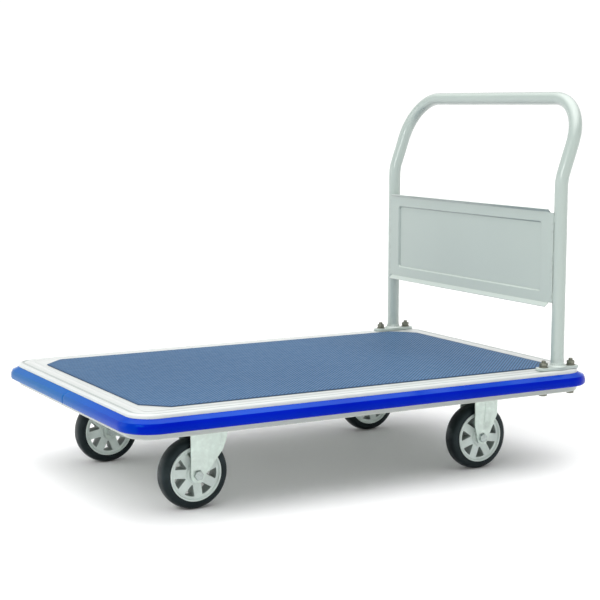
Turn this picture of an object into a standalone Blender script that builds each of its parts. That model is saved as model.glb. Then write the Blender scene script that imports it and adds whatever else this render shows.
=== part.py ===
"""Platform trolley: a pressed steel deck with a vinyl mat and bumper, a bolted tube handle with
a sheet panel, two swivel castors at the front and two rigid castors at the handle end.

Metres, +Z up. The origin is on the floor under the middle of the deck, +X points to the handle
and +Y across the deck.
"""

import math

import bmesh
import bpy
from mathutils import Matrix, Vector

# Gap between pieces that touch
GAP = 0.0003

# Deck
DECK_LENGTH = 1.112
DECK_WIDTH = 0.720
DECK_CORNER = 0.050
DECK_TOP = 0.2330
DECK_BOTTOM = 0.1820
DECK_SHEET = 0.0020
DECK_SHOULDER = 0.0040
DECK_LIP = 0.0070
DECK_UNDERSIDE = DECK_TOP - DECK_SHEET

# Mat
MAT_LENGTH = 1.018
MAT_WIDTH = 0.622
MAT_CHAMFER = 0.050
MAT_THICKNESS = 0.0019

# Bumper section, (out from the deck wall, height): flat underside, round nose, crease, bevel
BUMPER_SECTION = [
    (0.0, 0.1955), (0.0133, 0.1955), (0.0177, 0.1985), (0.0190, 0.2055),
    (0.0173, 0.2138), (0.0150, 0.2168), (0.0038, 0.2240), (0.0, 0.2240),
]
BUMPER_SEAM_Y = -0.0130
BUMPER_SEAM_GAP = 0.0012

# Beams under the deck
BEAM_SHEET = 0.0025
BEAM_BEND = 0.0030
BEAM_WIDTH = 0.112
SIDE_BEAM_X = (-0.4385, 0.4305)
FRONT_BEAM_X = -0.480
FRONT_BEAM_WIDTH = 0.080
CROSS_BEAM_HALF = 0.352
MIDDLE_BEAM_WIDTH = 0.080

# Castors
WHEEL_RADIUS = 0.075
CASTOR_HEIGHT = 0.190
CASTOR_Y = 0.233
SWIVEL_X = -0.345
SWIVEL_TRAIL = 0.0325
RIGID_X = 0.345
RIGID_AXLE_BACK = 0.0054
PLATE_LENGTH = 0.135
PLATE_WIDTH = 0.105
PLATE_SHEET = 0.0040
PLATE_CORNER = 0.010
PLATE_BOLT_X = 0.0525
PLATE_BOLT_Y = 0.0400
FORK_HALF = 0.0270
FORK_SHEET = 0.0030
FORK_BEND = 0.0050
CROWN_TOP = 0.1715
RACE_INNER = 0.0170
RACE_OUTER = 0.0260
RACE_HEIGHT = 0.0062
KINGPIN_RADIUS = 0.0080
KINGPIN_HEAD = 0.0150
KINGPIN_HEAD_SHEET = 0.0030
KINGPIN_POINT = 0.0060
KINGPIN_BORE = 0.0020
RUN_GAP = 0.0005
PLATE_BOLT_HEAD = (0.0090, 0.0065)

# Fork side views about the axle, (x, z): left edge, right edge, radius of the round end
RIGID_LEFT = [(-0.022, 0.030)]
RIGID_RIGHT = [(0.0396, 0.052)]
RIGID_END = 0.0150
SWIVEL_LEFT = [(-0.0165, 0.0300)]
SWIVEL_RIGHT = [(0.0585, 0.0460), (0.0675, 0.0680), (0.0710, 0.0850)]
SWIVEL_END = 0.0165

# Wheels
RIM_RADIUS = 0.0575
RIM_HALF = 0.0198
WEB_HALF = 0.0155
HUB_RADIUS = 0.0190
HUB_HALF = 0.0228
BORE_RADIUS = 0.0100
SLEEVE_RADIUS = 0.0097
SLEEVE_BORE = 0.0064
WINDOW_COUNT = 7
WINDOW_APEX = 0.0250
WINDOW_BASE = 0.0473
WINDOW_HALF_ANGLE = math.radians(14.0)
WINDOW_TIP_ANGLE = math.radians(3.0)
AXLE_RADIUS = 0.0060
AXLE_END = 0.0135
AXLE_HEAD = (0.0105, 0.0085)
AXLE_NUT = (0.0105, 0.0090)
AXLE_WASHER = 0.0118
WASHER_SHEET = 0.0018
TYRE_SHOULDER = [(0.0006, 0.0085), (0.0030, 0.0140), (0.0075, 0.0175)]
RIM_LIP = 0.0035
RIM_SLOPE = 0.0020
WHEEL_PHASES = {"front_near": -4.5, "front_far": 10.0, "rear_near": 17.4, "rear_far": 0.0}

# Handle
HANDLE_X = 0.487
HANDLE_Y = 0.3400
TUBE_RADIUS = 0.0150
TUBE_WALL = 0.0020
BEND_HEIGHT = 0.6627
TILT = math.radians(19.5)
TILT_LENGTH = 0.1924
TILT_BEND_RADIUS = 0.100
CORNER_RADIUS = 0.105
FLANGE_SHEET = 0.0067
FLANGE_WAIST = 0.0188
FLANGE_END_X = 0.0445
FLANGE_END_RADIUS = 0.0135
NECK_HEIGHT = 0.0090
NECK_FOOT = 0.0200
NECK_TOP = 0.0170
BOLT_X = 0.0390
BOLT_RADIUS = 0.0050
BOLT_TOP = 0.2560
HOLE_RADIUS = 0.0054
HANDLE_HEAD = (0.0092, 0.0064)
HANDLE_NUT = (0.0096, 0.0080)
HANDLE_WASHER = 0.0110

# Panel between the legs
PANEL_BOTTOM = 0.377
PANEL_TOP = 0.597
PANEL_HALF = 0.336
PANEL_SHEET = 0.0015
PANEL_FLARE = 0.0080
PANEL_FLARE_HALF = 0.318
PANEL_FOLD = 0.0010
RECESS_HALF = 0.2955
RECESS_DEPTH = 0.0060
RECESS_SLOPE = 0.0050
PANEL_MARGIN = PANEL_HALF - RECESS_HALF

# Sides of a turned or round piece, by size
STEPS_TYRE = 32
STEPS_ROUND = 20
STEPS_SHAFT = 12
STEPS_CORNER = 6
STEPS_SHOULDER = 3
STEPS_FOLD = 2
STEPS_TUBE = 2
STEPS_TUBE_CORNER = 6

# Length that takes a cutter clear of what it cuts
CLEAR = 0.010
SHARP_ANGLE = math.radians(35)

ALONG_Y = (math.pi / 2, 0.0, 0.0)


def clear_scene():
    for obj in list(bpy.data.objects):
        bpy.data.objects.remove(obj, do_unlink=True)


def new_collection(name):
    collection = bpy.data.collections.new(name)
    bpy.context.scene.collection.children.link(collection)
    return collection


clear_scene()
PARTS = new_collection("platform_trolley")
CUTTERS = new_collection("cutters")
CUTTERS.hide_render = True


def new_material(name, colour, roughness, metallic=0.0):
    material = bpy.data.materials.new(name)
    material.use_nodes = True
    shader = material.node_tree.nodes["Principled BSDF"]
    shader.inputs["Base Color"].default_value = (*colour, 1.0)
    shader.inputs["Roughness"].default_value = roughness
    shader.inputs["Metallic"].default_value = metallic
    return material


DECK_WHITE = new_material("deck_white_paint", (0.78, 0.80, 0.79), 0.35)
HANDLE_GREY = new_material("handle_grey_paint", (0.52, 0.58, 0.55), 0.40)
MAT_BLUE = new_material("mat_blue_vinyl", (0.10, 0.19, 0.36), 0.60)
BUMPER_BLUE = new_material("bumper_blue_vinyl", (0.005, 0.04, 0.50), 0.22)
ZINC = new_material("zinc_plate", (0.70, 0.74, 0.70), 0.35, 1.0)
BOLT_ZINC = new_material("bolt_zinc", (0.45, 0.46, 0.38), 0.40, 1.0)
TYRE_BLACK = new_material("tyre_rubber", (0.012, 0.015, 0.016), 0.55)
WHEEL_GREY = new_material("wheel_grey_plastic", (0.58, 0.64, 0.60), 0.45)


def finish(obj, material, parent=None):
    """Gives a part its material, smooth shading and parent; its place stays as it is set."""
    obj.data.materials.clear()
    obj.data.materials.append(material)
    if obj.type == "MESH":
        obj.data.shade_smooth()
        obj.data.set_sharp_from_angle(angle=SHARP_ANGLE)
    if parent is not None:
        obj.parent = parent
        obj.matrix_parent_inverse = parent.matrix_world.inverted()
    return obj


def new_object(name, data, collection=PARTS, location=(0, 0, 0), rotation=(0, 0, 0)):
    obj = bpy.data.objects.new(name, data)
    obj.location = location
    obj.rotation_euler = rotation
    collection.objects.link(obj)
    return obj


def as_cutter(obj):
    obj.display_type = "WIRE"
    obj.hide_render = True
    return obj


def combine(target, tool, operation):
    """Cuts, joins or intersects a part with a tool, which stays a hidden cutter."""
    as_cutter(tool)
    modifier = target.modifiers.new(operation.lower(), "BOOLEAN")
    modifier.object = tool
    modifier.operation = operation
    modifier.solver = "EXACT"
    return target


def soften(bm, edges, width, segments):
    """Rounds edges of a mesh under construction."""
    bmesh.ops.bevel(bm, geom=edges, offset=width, segments=segments, profile=0.5, affect="EDGES")


def span(edge, axis):
    """How far an edge reaches along one axis."""
    return abs(edge.verts[0].co[axis] - edge.verts[1].co[axis])


def mesh_from(name, build):
    mesh = bpy.data.meshes.new(name)
    bm = bmesh.new()
    build(bm)
    bm.to_mesh(mesh)
    bm.free()
    return mesh


def box_mesh(name, size, corner=0.0, segments=3):
    """A box centred on its origin, with its upright edges rounded."""

    def build(bm):
        bmesh.ops.create_cube(bm, size=1.0, matrix=Matrix.Diagonal((*size, 1.0)))
        if corner > 0.0:
            soften(bm, [e for e in bm.edges if span(e, 2) > size[2] / 2], corner, segments)

    return mesh_from(name, build)


def cone_mesh(name, radius_low, radius_high, low, high, sides):
    """A round or hexagonal prism or cone on the local Z axis, from low to high."""

    def build(bm):
        middle = Matrix.Translation((0, 0, (low + high) / 2))
        bmesh.ops.create_cone(
            bm, cap_ends=True, segments=sides, radius1=radius_low, radius2=radius_high,
            depth=high - low, matrix=middle,
        )

    return mesh_from(name, build)


def cylinder(name, radius, low, high, sides=STEPS_SHAFT, collection=CUTTERS, **place):
    mesh = cone_mesh(name, radius, radius, low, high, sides)
    return new_object(name, mesh, collection, **place)


def turned(name, profile, steps, location=(0, 0, 0), rotation=(0, 0, 0), collection=PARTS):
    """A closed profile of (radius, height) pairs turned about the local Z axis."""
    mesh = bpy.data.meshes.new(name)
    points = [(radius, 0.0, height) for radius, height in profile]
    edges = [(i, (i + 1) % len(points)) for i in range(len(points))]
    mesh.from_pydata(points, edges, [])
    obj = new_object(name, mesh, collection, location, rotation)
    screw = obj.modifiers.new("turn", "SCREW")
    screw.axis = "Z"
    screw.steps = steps
    screw.render_steps = steps
    screw.use_merge_vertices = True
    screw.merge_threshold = 0.00001
    return obj


def outline_object(name, loops, thickness, location=(0, 0, 0), rotation=(0, 0, 0), collection=PARTS):
    """One or more flat outlines in the local XY plane, given a thickness about that plane, as a mesh."""
    curve = bpy.data.curves.new(name + "_outline", "CURVE")
    curve.dimensions = "2D"
    curve.fill_mode = "BOTH"
    curve.extrude = thickness / 2
    for loop in loops:
        spline = curve.splines.new("POLY")
        spline.points.add(len(loop) - 1)
        for point, (x, y) in zip(spline.points, loop):
            point.co = (x, y, 0.0, 1.0)
        spline.use_cyclic_u = True
    guide = new_object(name + "_outline", curve, collection, location, rotation)
    return mesh_of_curve(guide, name, collection)


def mesh_of_curve(guide, name, collection):
    bpy.context.view_layer.update()
    graph = bpy.context.evaluated_depsgraph_get()
    mesh = bpy.data.meshes.new_from_object(guide.evaluated_get(graph))
    bm = bmesh.new()
    bm.from_mesh(mesh)
    bmesh.ops.remove_doubles(bm, verts=bm.verts, dist=0.000001)
    if all(not edge.is_boundary for edge in bm.edges):
        bmesh.ops.recalc_face_normals(bm, faces=bm.faces)
    bm.to_mesh(mesh)
    bm.free()
    obj = new_object(name, mesh, collection)
    obj.matrix_world = guide.matrix_world.copy()
    bpy.data.objects.remove(guide, do_unlink=True)
    return obj


def arc(centre, radius, start, end, steps):
    """Points along an arc in the plane, angles in radians."""
    angles = [start + (end - start) * i / steps for i in range(steps + 1)]
    return [(centre[0] + radius * math.cos(a), centre[1] + radius * math.sin(a)) for a in angles]


def rounded_rectangle(half_x, half_y, radius, steps):
    """Outline from the middle of the -X side round to it again, counter-clockwise."""
    corners = (
        ((-half_x + radius, -half_y + radius), math.pi),
        ((half_x - radius, -half_y + radius), 1.5 * math.pi),
        ((half_x - radius, half_y - radius), 2.0 * math.pi),
        ((-half_x + radius, half_y - radius), 2.5 * math.pi),
    )
    points = []
    for centre, start in corners:
        points += arc(centre, radius, start, start + math.pi / 2, steps)
    return points


def joint_empty(name, location, parent=None):
    empty = bpy.data.objects.new(name, None)
    empty.empty_display_size = 0.03
    empty.location = location
    PARTS.objects.link(empty)
    bpy.context.view_layer.update()
    if parent is not None:
        empty.parent = parent
        empty.matrix_parent_inverse = parent.matrix_world.inverted()
        bpy.context.view_layer.update()
    return empty


def side_name(side):
    return "near" if side < 0 else "far"


def handle_bolt_places(sides=(-1, 1)):
    return [(HANDLE_X + end * BOLT_X, side * HANDLE_Y) for side in sides for end in (-1, 1)]


def cut_bolt_holes(obj, places, low, high):
    """Holes for the handle's bolts, from low to high."""
    for index, (x, y) in enumerate(places):
        hole = cylinder(f"{obj.name}_hole_{index}", HOLE_RADIUS, low, high, location=(x, y, 0))
        combine(obj, hole, "DIFFERENCE")


# --- Deck -------------------------------------------------------------------------------------


def deck_plate():
    """One pressed sheet: flat top, rounded shoulder, straight wall and a lip folded in below."""
    height = DECK_TOP - DECK_BOTTOM

    def build(bm):
        size = (DECK_LENGTH, DECK_WIDTH, height)
        bmesh.ops.create_cube(bm, size=1.0, matrix=Matrix.Diagonal((*size, 1.0)))
        soften(bm, [e for e in bm.edges if span(e, 2) > height / 2], DECK_CORNER, STEPS_CORNER)
        top = [e for e in bm.edges if min(v.co.z for v in e.verts) > height / 2 - GAP]
        soften(bm, top, DECK_SHOULDER, STEPS_SHOULDER)
        bottom = [f for f in bm.faces if f.normal.z < -0.9]
        bmesh.ops.inset_region(bm, faces=bottom, thickness=DECK_LIP)
        opening = [f for f in bottom if f.is_valid]
        bmesh.ops.delete(bm, geom=opening, context="FACES")

    middle = (0, 0, (DECK_TOP + DECK_BOTTOM) / 2)
    obj = new_object("deck_plate", mesh_from("deck_plate", build), location=middle)
    shell = obj.modifiers.new("sheet", "SOLIDIFY")
    shell.thickness = DECK_SHEET
    shell.offset = -1.0
    shell.use_even_offset = True
    cut_bolt_holes(obj, handle_bolt_places(), DECK_BOTTOM - CLEAR, DECK_TOP + CLEAR)
    return finish(obj, DECK_WHITE)


def deck_mat():
    """A flat vinyl sheet with cut corners."""
    x = MAT_LENGTH / 2
    y = MAT_WIDTH / 2
    cut = MAT_CHAMFER
    corners = [
        (-x, -y + cut), (-x + cut, -y), (x - cut, -y), (x, -y + cut),
        (x, y - cut), (x - cut, y), (-x + cut, y), (-x, y - cut),
    ]
    middle = DECK_TOP + GAP + MAT_THICKNESS / 2
    return finish(outline_object("deck_mat", [corners], MAT_THICKNESS, (0, 0, middle)), MAT_BLUE)


def edge_bumper():
    """One extruded strip swept round the deck wall, with its two ends meeting at the front."""
    profile = bpy.data.curves.new("bumper_profile", "CURVE")
    profile.dimensions = "2D"
    spline = profile.splines.new("POLY")
    spline.points.add(len(BUMPER_SECTION) - 1)
    for point, (out, height) in zip(spline.points, BUMPER_SECTION):
        point.co = (out, height, 0.0, 1.0)
    spline.use_cyclic_u = True
    profile_object = as_cutter(new_object("bumper_profile", profile, CUTTERS))

    wall_x = DECK_LENGTH / 2 + GAP
    wall_y = DECK_WIDTH / 2 + GAP
    loop = rounded_rectangle(wall_x, wall_y, DECK_CORNER + GAP, STEPS_CORNER)
    start = (-wall_x, BUMPER_SEAM_Y - BUMPER_SEAM_GAP / 2)
    end = (-wall_x, BUMPER_SEAM_Y + BUMPER_SEAM_GAP / 2)
    path = [start, *loop, end]
    curve = bpy.data.curves.new("edge_bumper", "CURVE")
    curve.dimensions = "2D"
    curve.bevel_mode = "OBJECT"
    curve.bevel_object = profile_object
    curve.use_fill_caps = True
    spline = curve.splines.new("POLY")
    spline.points.add(len(path) - 1)
    for point, (x, y) in zip(spline.points, path):
        point.co = (x, y, 0.0, 1.0)
    guide = new_object("edge_bumper_path", curve)
    return finish(mesh_of_curve(guide, "edge_bumper", PARTS), BUMPER_BLUE)


# --- Beams under the deck ---------------------------------------------------------------------


def beam(name, length, width, bottom, place, along_y):
    """A channel folded from sheet, open at the top, where it is welded to the deck."""
    top = DECK_UNDERSIDE - GAP
    height = top - bottom

    def build(bm):
        bmesh.ops.create_cube(bm, size=1.0, matrix=Matrix.Diagonal((length, width, height, 1.0)))
        low = [e for e in bm.edges if max(v.co.z for v in e.verts) < 0 and span(e, 0) > 0]
        soften(bm, low, BEAM_BEND, STEPS_FOLD)
        open_sides = [f for f in bm.faces if f.normal.z > 0.9 or abs(f.normal.x) > 0.9]
        bmesh.ops.delete(bm, geom=open_sides, context="FACES")

    turn = (0, 0, math.pi / 2) if along_y else (0, 0, 0)
    obj = new_object(name, mesh_from(name, build), location=(*place, (top + bottom) / 2), rotation=turn)
    sheet = obj.modifiers.new("sheet", "SOLIDIFY")
    sheet.thickness = BEAM_SHEET
    sheet.offset = -1.0
    sheet.use_even_offset = True
    return finish(obj, DECK_WHITE)


def beams():
    """Two long beams over the castors, a cross beam at each end and one between them."""
    low = CASTOR_HEIGHT + GAP
    side_length = SIDE_BEAM_X[1] - SIDE_BEAM_X[0]
    side_middle = (SIDE_BEAM_X[0] + SIDE_BEAM_X[1]) / 2
    for side in (-1, 1):
        name = f"side_beam_{side_name(side)}"
        beam(name, side_length, BEAM_WIDTH, low, (side_middle, side * CASTOR_Y), False)
    beam("front_cross_beam", 2 * CROSS_BEAM_HALF, FRONT_BEAM_WIDTH, low, (FRONT_BEAM_X, 0), True)
    middle_half = CASTOR_Y - BEAM_WIDTH / 2 - GAP
    beam("middle_cross_beam", 2 * middle_half, MIDDLE_BEAM_WIDTH, low, (0, 0), True)
    base = DECK_BOTTOM + GAP
    handle_beam = beam("handle_cross_beam", 2 * CROSS_BEAM_HALF, BEAM_WIDTH, base, (HANDLE_X, 0), True)
    cut_bolt_holes(handle_beam, handle_bolt_places(), DECK_BOTTOM - CLEAR, DECK_BOTTOM + CLEAR)
    inset = DECK_SHEET + DECK_LIP + GAP
    half_x = DECK_LENGTH / 2 - inset
    half_y = DECK_WIDTH / 2 - inset
    inside = rounded_rectangle(half_x, half_y, DECK_CORNER - inset, STEPS_CORNER)
    trim = outline_object("handle_beam_trim", [inside], 2 * DECK_TOP, collection=CUTTERS)
    combine(handle_beam, trim, "INTERSECT")


# --- Handle -----------------------------------------------------------------------------------


def handle_path():
    """Centre line of the bent tube: up the near leg, back by the tilt, across and down the far leg."""
    tilt_cut = TILT_BEND_RADIUS * math.tan(TILT / 2)
    foot = DECK_TOP + FLANGE_SHEET + 2 * GAP
    side = [(0.0, foot), (0.0, PANEL_TOP)]
    side += arc((TILT_BEND_RADIUS, BEND_HEIGHT - tilt_cut), TILT_BEND_RADIUS, math.pi, math.pi - TILT, 4)
    up = Vector((math.sin(TILT), 0.0, math.cos(TILT)))
    top = Vector((HANDLE_X, 0.0, BEND_HEIGHT)) + TILT_LENGTH * up
    points = [Vector((HANDLE_X + x, -HANDLE_Y, z)) for x, z in side]
    centre = (-HANDLE_Y + CORNER_RADIUS, -CORNER_RADIUS)
    for y, rise in arc(centre, CORNER_RADIUS, math.pi, math.pi / 2, STEPS_TUBE_CORNER):
        points.append(Vector((top.x, y, top.z)) + rise * up)
    return points + [Vector((p.x, -p.y, p.z)) for p in reversed(points)]


def handle_tube():
    """One steel tube, hollow and open at both feet."""
    curve = bpy.data.curves.new("handle_tube", "CURVE")
    curve.dimensions = "3D"
    curve.bevel_depth = TUBE_RADIUS
    curve.bevel_resolution = STEPS_TUBE
    spline = curve.splines.new("POLY")
    path = handle_path()
    spline.points.add(len(path) - 1)
    for point, place in zip(spline.points, path):
        point.co = (*place, 1.0)
    obj = mesh_of_curve(new_object("handle_tube_path", curve), "handle_tube", PARTS)
    wall = obj.modifiers.new("wall", "SOLIDIFY")
    wall.thickness = TUBE_WALL
    wall.offset = -1.0
    return finish(obj, HANDLE_GREY)


def handle_panel():
    """A sheet on the deck side of the legs, its middle pressed back and its long edges flared out."""
    base_top = PANEL_TOP - PANEL_FLARE
    base_bottom = PANEL_BOTTOM + PANEL_FLARE
    half_height = (base_top - base_bottom) / 2
    edge_margin = PANEL_MARGIN - PANEL_FLARE - PANEL_FOLD

    def on_long_edge(vert, sign):
        return sign * vert.co.y > half_height - GAP and abs(vert.co.x) < PANEL_FLARE_HALF + GAP

    def build(bm):
        across = Matrix.Diagonal((PANEL_HALF, half_height, 1.0, 1.0))
        bmesh.ops.create_grid(bm, x_segments=1, y_segments=1, size=1.0, matrix=across)
        for distance in (-PANEL_FLARE_HALF, PANEL_FLARE_HALF):
            everything = bm.verts[:] + bm.edges[:] + bm.faces[:]
            bmesh.ops.bisect_plane(bm, geom=everything, plane_co=(distance, 0, 0), plane_no=(1, 0, 0))
        middle = max(bm.faces, key=lambda face: face.calc_area())
        bmesh.ops.inset_region(bm, faces=[middle], thickness=edge_margin)
        for vert in middle.verts:
            vert.co.x = math.copysign(RECESS_HALF, vert.co.x)
        bmesh.ops.inset_region(bm, faces=[middle], thickness=RECESS_SLOPE)
        for vert in middle.verts:
            vert.co.z += RECESS_DEPTH
        for sign in (-1, 1):
            fold = [e for e in bm.edges if all(on_long_edge(v, sign) for v in e.verts)]
            lip = bmesh.ops.extrude_edge_only(bm, edges=fold)["geom"]
            outer = [v for v in lip if isinstance(v, bmesh.types.BMVert)]
            bmesh.ops.translate(bm, vec=(0, sign * PANEL_FLARE, -PANEL_FLARE), verts=outer)
        bmesh.ops.recalc_face_normals(bm, faces=bm.faces)
        if middle.normal.z < 0:
            bmesh.ops.reverse_faces(bm, faces=bm.faces)

    # The sheet's local X lies along +Y, its Y along +Z and its Z along +X
    place = (HANDLE_X - TUBE_RADIUS - GAP, 0, (base_top + base_bottom) / 2)
    obj = new_object("handle_panel", mesh_from("handle_panel", build), location=place)
    obj.rotation_euler = (math.pi / 2, 0, math.pi / 2)
    sheet = obj.modifiers.new("sheet", "SOLIDIFY")
    sheet.thickness = PANEL_SHEET
    sheet.offset = -1.0
    sheet.use_even_offset = True
    return finish(obj, HANDLE_GREY)


def flange_outline():
    """Two end circles and a wider waist, joined by straight tangents."""
    lean = math.acos((FLANGE_WAIST - FLANGE_END_RADIUS) / FLANGE_END_X)
    right = arc((FLANGE_END_X, 0), FLANGE_END_RADIUS, -lean, lean, 6)
    upper = arc((0, 0), FLANGE_WAIST, lean, math.pi - lean, 2)
    left = arc((-FLANGE_END_X, 0), FLANGE_END_RADIUS, math.pi - lean, math.pi + lean, 6)
    lower = arc((0, 0), FLANGE_WAIST, math.pi + lean, 2 * math.pi - lean, 2)
    return right + upper + left + lower


def handle_flange(side):
    """An oval foot plate with a neck round the leg, on the deck border."""
    name = f"handle_flange_{side_name(side)}"
    top = DECK_TOP + GAP + FLANGE_SHEET
    foot = (HANDLE_X, side * HANDLE_Y, 0)
    middle = (foot[0], foot[1], top - FLANGE_SHEET / 2)
    obj = outline_object(name, [flange_outline()], FLANGE_SHEET, middle)
    high = top + NECK_HEIGHT
    neck = cone_mesh(name + "_neck", NECK_FOOT, NECK_TOP, middle[2], high, STEPS_ROUND)
    combine(obj, new_object(name + "_neck", neck, CUTTERS, foot), "UNION")
    radius = TUBE_RADIUS + GAP
    bore = cylinder(name + "_bore", radius, top, high + NECK_HEIGHT, STEPS_ROUND, location=foot)
    combine(obj, bore, "DIFFERENCE")
    cut_bolt_holes(obj, handle_bolt_places((side,)), top - 2 * CLEAR, top + 2 * CLEAR)
    return finish(obj, HANDLE_GREY)


def hex_bolt(name, head, shaft_radius, low, high, washer=0.0, parent=None, **place):
    """A bolt on the local Z axis: shaft from low to high, hexagonal head below low."""
    head_radius, head_height = head
    obj = cylinder(name, shaft_radius, low - head_height / 2, high, STEPS_SHAFT, PARTS, **place)
    prism = cone_mesh(name + "_head", head_radius, head_radius, low - head_height, low - washer, 6)
    combine(obj, new_object(name + "_head", prism, CUTTERS, **place), "UNION")
    if washer > 0.0:
        flat = cylinder(name + "_washer", AXLE_WASHER, low - washer - GAP, low, STEPS_ROUND, **place)
        combine(obj, flat, "UNION")
    return finish(obj, BOLT_ZINC, parent)


def hex_nut(name, nut, washer_radius, bore_radius, base, parent=None, **place):
    """A nut with its washer on the local Z axis, standing on the height base."""
    radius, height = nut
    face = base + WASHER_SHEET
    obj = cylinder(name, washer_radius, base, face, STEPS_ROUND, PARTS, **place)
    body = cone_mesh(name + "_body", radius, radius, face - WASHER_SHEET / 2, face + height, 6)
    combine(obj, new_object(name + "_body", body, CUTTERS, **place), "UNION")
    bore = cylinder(name + "_bore", bore_radius, base - CLEAR, face + height + CLEAR, **place)
    combine(obj, bore, "DIFFERENCE")
    return finish(obj, BOLT_ZINC, parent)


def handle():
    """The tube with its panel, and its two foot plates bolted through the deck."""
    handle_tube()
    handle_panel()
    seat = DECK_TOP + GAP + FLANGE_SHEET + GAP
    head_face = DECK_BOTTOM - GAP
    for side in (-1, 1):
        handle_flange(side)
        for end, (x, y) in zip(("front", "rear"), handle_bolt_places((side,))):
            label = f"{side_name(side)}_{end}"
            place = {"location": (x, y, 0)}
            hex_bolt(f"handle_bolt_{label}", HANDLE_HEAD, BOLT_RADIUS, head_face, BOLT_TOP, **place)
            hex_nut(f"handle_nut_{label}", HANDLE_NUT, HANDLE_WASHER, BOLT_RADIUS + GAP, seat, **place)


# --- Castors ----------------------------------------------------------------------------------


def tangent_angle(point, radius, turn):
    """Angle at which the line from a point touches the circle round the axle, on one side."""
    distance = math.hypot(*point)
    return math.atan2(point[1], point[0]) + turn * math.acos(radius / distance)


def fork_outline(left, right, end_radius, top):
    """Side view of a fork leg about its axle: down the left edge, round the end, up the right edge."""
    start = tangent_angle(left[-1], end_radius, 1)
    stop = tangent_angle(right[0], end_radius, -1) + 2 * math.pi
    round_end = arc((0, 0), end_radius, start, stop, 8)
    return [(left[0][0], top), *left, *round_end, *right, (right[-1][0], top)]


def bent_fork(name, outline, crown_top, place):
    """A strip bent into a U over the wheel, trimmed to the side view, with its axle hole."""
    reach = 2 * max(abs(x) for x, _ in outline)
    low = min(z for _, z in outline) - CLEAR
    height = crown_top - WHEEL_RADIUS - low

    def build(bm):
        size = (2 * reach, 2 * FORK_HALF, height)
        bmesh.ops.create_cube(bm, size=1.0, matrix=Matrix.Diagonal((*size, 1.0)))
        bends = [e for e in bm.edges if min(v.co.z for v in e.verts) > 0 and span(e, 0) > 0]
        soften(bm, bends, FORK_BEND, STEPS_FOLD)
        open_sides = [f for f in bm.faces if f.normal.z < -0.9 or abs(f.normal.x) > 0.9]
        bmesh.ops.delete(bm, geom=open_sides, context="FACES")
        bmesh.ops.translate(bm, vec=(0, 0, low + height / 2), verts=bm.verts)

    obj = new_object(name, mesh_from(name, build), location=place)
    sheet = obj.modifiers.new("sheet", "SOLIDIFY")
    sheet.thickness = FORK_SHEET
    sheet.offset = -1.0
    sheet.use_even_offset = True
    trim = outline_object(name + "_trim", [outline], 4 * FORK_HALF, place, ALONG_Y, CUTTERS)
    combine(obj, trim, "INTERSECT")
    radius = AXLE_RADIUS + GAP
    out = FORK_HALF + CLEAR
    hole = cylinder(name + "_axle_hole", radius, -out, out, location=place, rotation=ALONG_Y)
    combine(obj, hole, "DIFFERENCE")
    return obj


def castor_plate(name, place, collection=PARTS):
    mesh = box_mesh(name, (PLATE_LENGTH, PLATE_WIDTH, PLATE_SHEET), PLATE_CORNER)
    return new_object(name, mesh, collection, (place[0], place[1], CASTOR_HEIGHT - PLATE_SHEET / 2))


def add_plate_bolts(obj, name, place):
    """The heads of the four fixing bolts, tight under the plate."""
    head_radius, head_height = PLATE_BOLT_HEAD
    top = CASTOR_HEIGHT - PLATE_SHEET + PLATE_SHEET / 4
    for index, (x, y) in enumerate([(sx, sy) for sx in (-1, 1) for sy in (-1, 1)]):
        spot = (place[0] + x * PLATE_BOLT_X, place[1] + y * PLATE_BOLT_Y, 0)
        head = cone_mesh(f"{name}_head_{index}", head_radius, head_radius, top - head_height, top, 6)
        combine(obj, new_object(f"{name}_head_{index}", head, CUTTERS, spot), "UNION")


def rigid_bracket(side, axle):
    """Fork and mounting plate of a rigid castor, one welded piece."""
    name = f"rigid_bracket_{side_name(side)}"
    outline = fork_outline(RIGID_LEFT, RIGID_RIGHT, RIGID_END, CASTOR_HEIGHT)
    obj = bent_fork(name, outline, CASTOR_HEIGHT - PLATE_SHEET / 8, axle)
    place = (RIGID_X, side * CASTOR_Y)
    combine(obj, castor_plate(name + "_plate", place, CUTTERS), "UNION")
    add_plate_bolts(obj, name, place)
    return finish(obj, ZINC)


def swivel_fork(side, axle, parent):
    """Fork of a swivel castor, hung from the kingpin ahead of its axle."""
    name = f"swivel_fork_{side_name(side)}"
    outline = fork_outline(SWIVEL_LEFT, SWIVEL_RIGHT, SWIVEL_END, CASTOR_HEIGHT)
    obj = bent_fork(name, outline, CROWN_TOP, axle)
    pin = (SWIVEL_X, side * CASTOR_Y, CROWN_TOP)
    radius = KINGPIN_RADIUS + RUN_GAP
    hole = cylinder(name + "_pin_hole", radius, -CLEAR, CLEAR, STEPS_ROUND, location=pin)
    combine(obj, hole, "DIFFERENCE")
    return finish(obj, ZINC, parent)


def swivel_plate(side):
    """Mounting plate of a swivel castor with its upper ball track pressed down."""
    name = f"swivel_plate_{side_name(side)}"
    place = (SWIVEL_X, side * CASTOR_Y)
    obj = castor_plate(name, place)
    low = CROWN_TOP + GAP + RACE_HEIGHT + RUN_GAP
    high = CASTOR_HEIGHT - PLATE_SHEET / 4
    track = cylinder(name + "_track", RACE_OUTER, low, high, STEPS_ROUND, location=(*place, 0))
    combine(obj, track, "UNION")
    pin = (*place, CASTOR_HEIGHT)
    radius = KINGPIN_RADIUS + GAP
    bore = cylinder(name + "_bore", radius, -2 * CLEAR, CLEAR, STEPS_ROUND, location=pin)
    combine(obj, bore, "DIFFERENCE")
    add_plate_bolts(obj, name, place)
    return finish(obj, ZINC)


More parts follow.
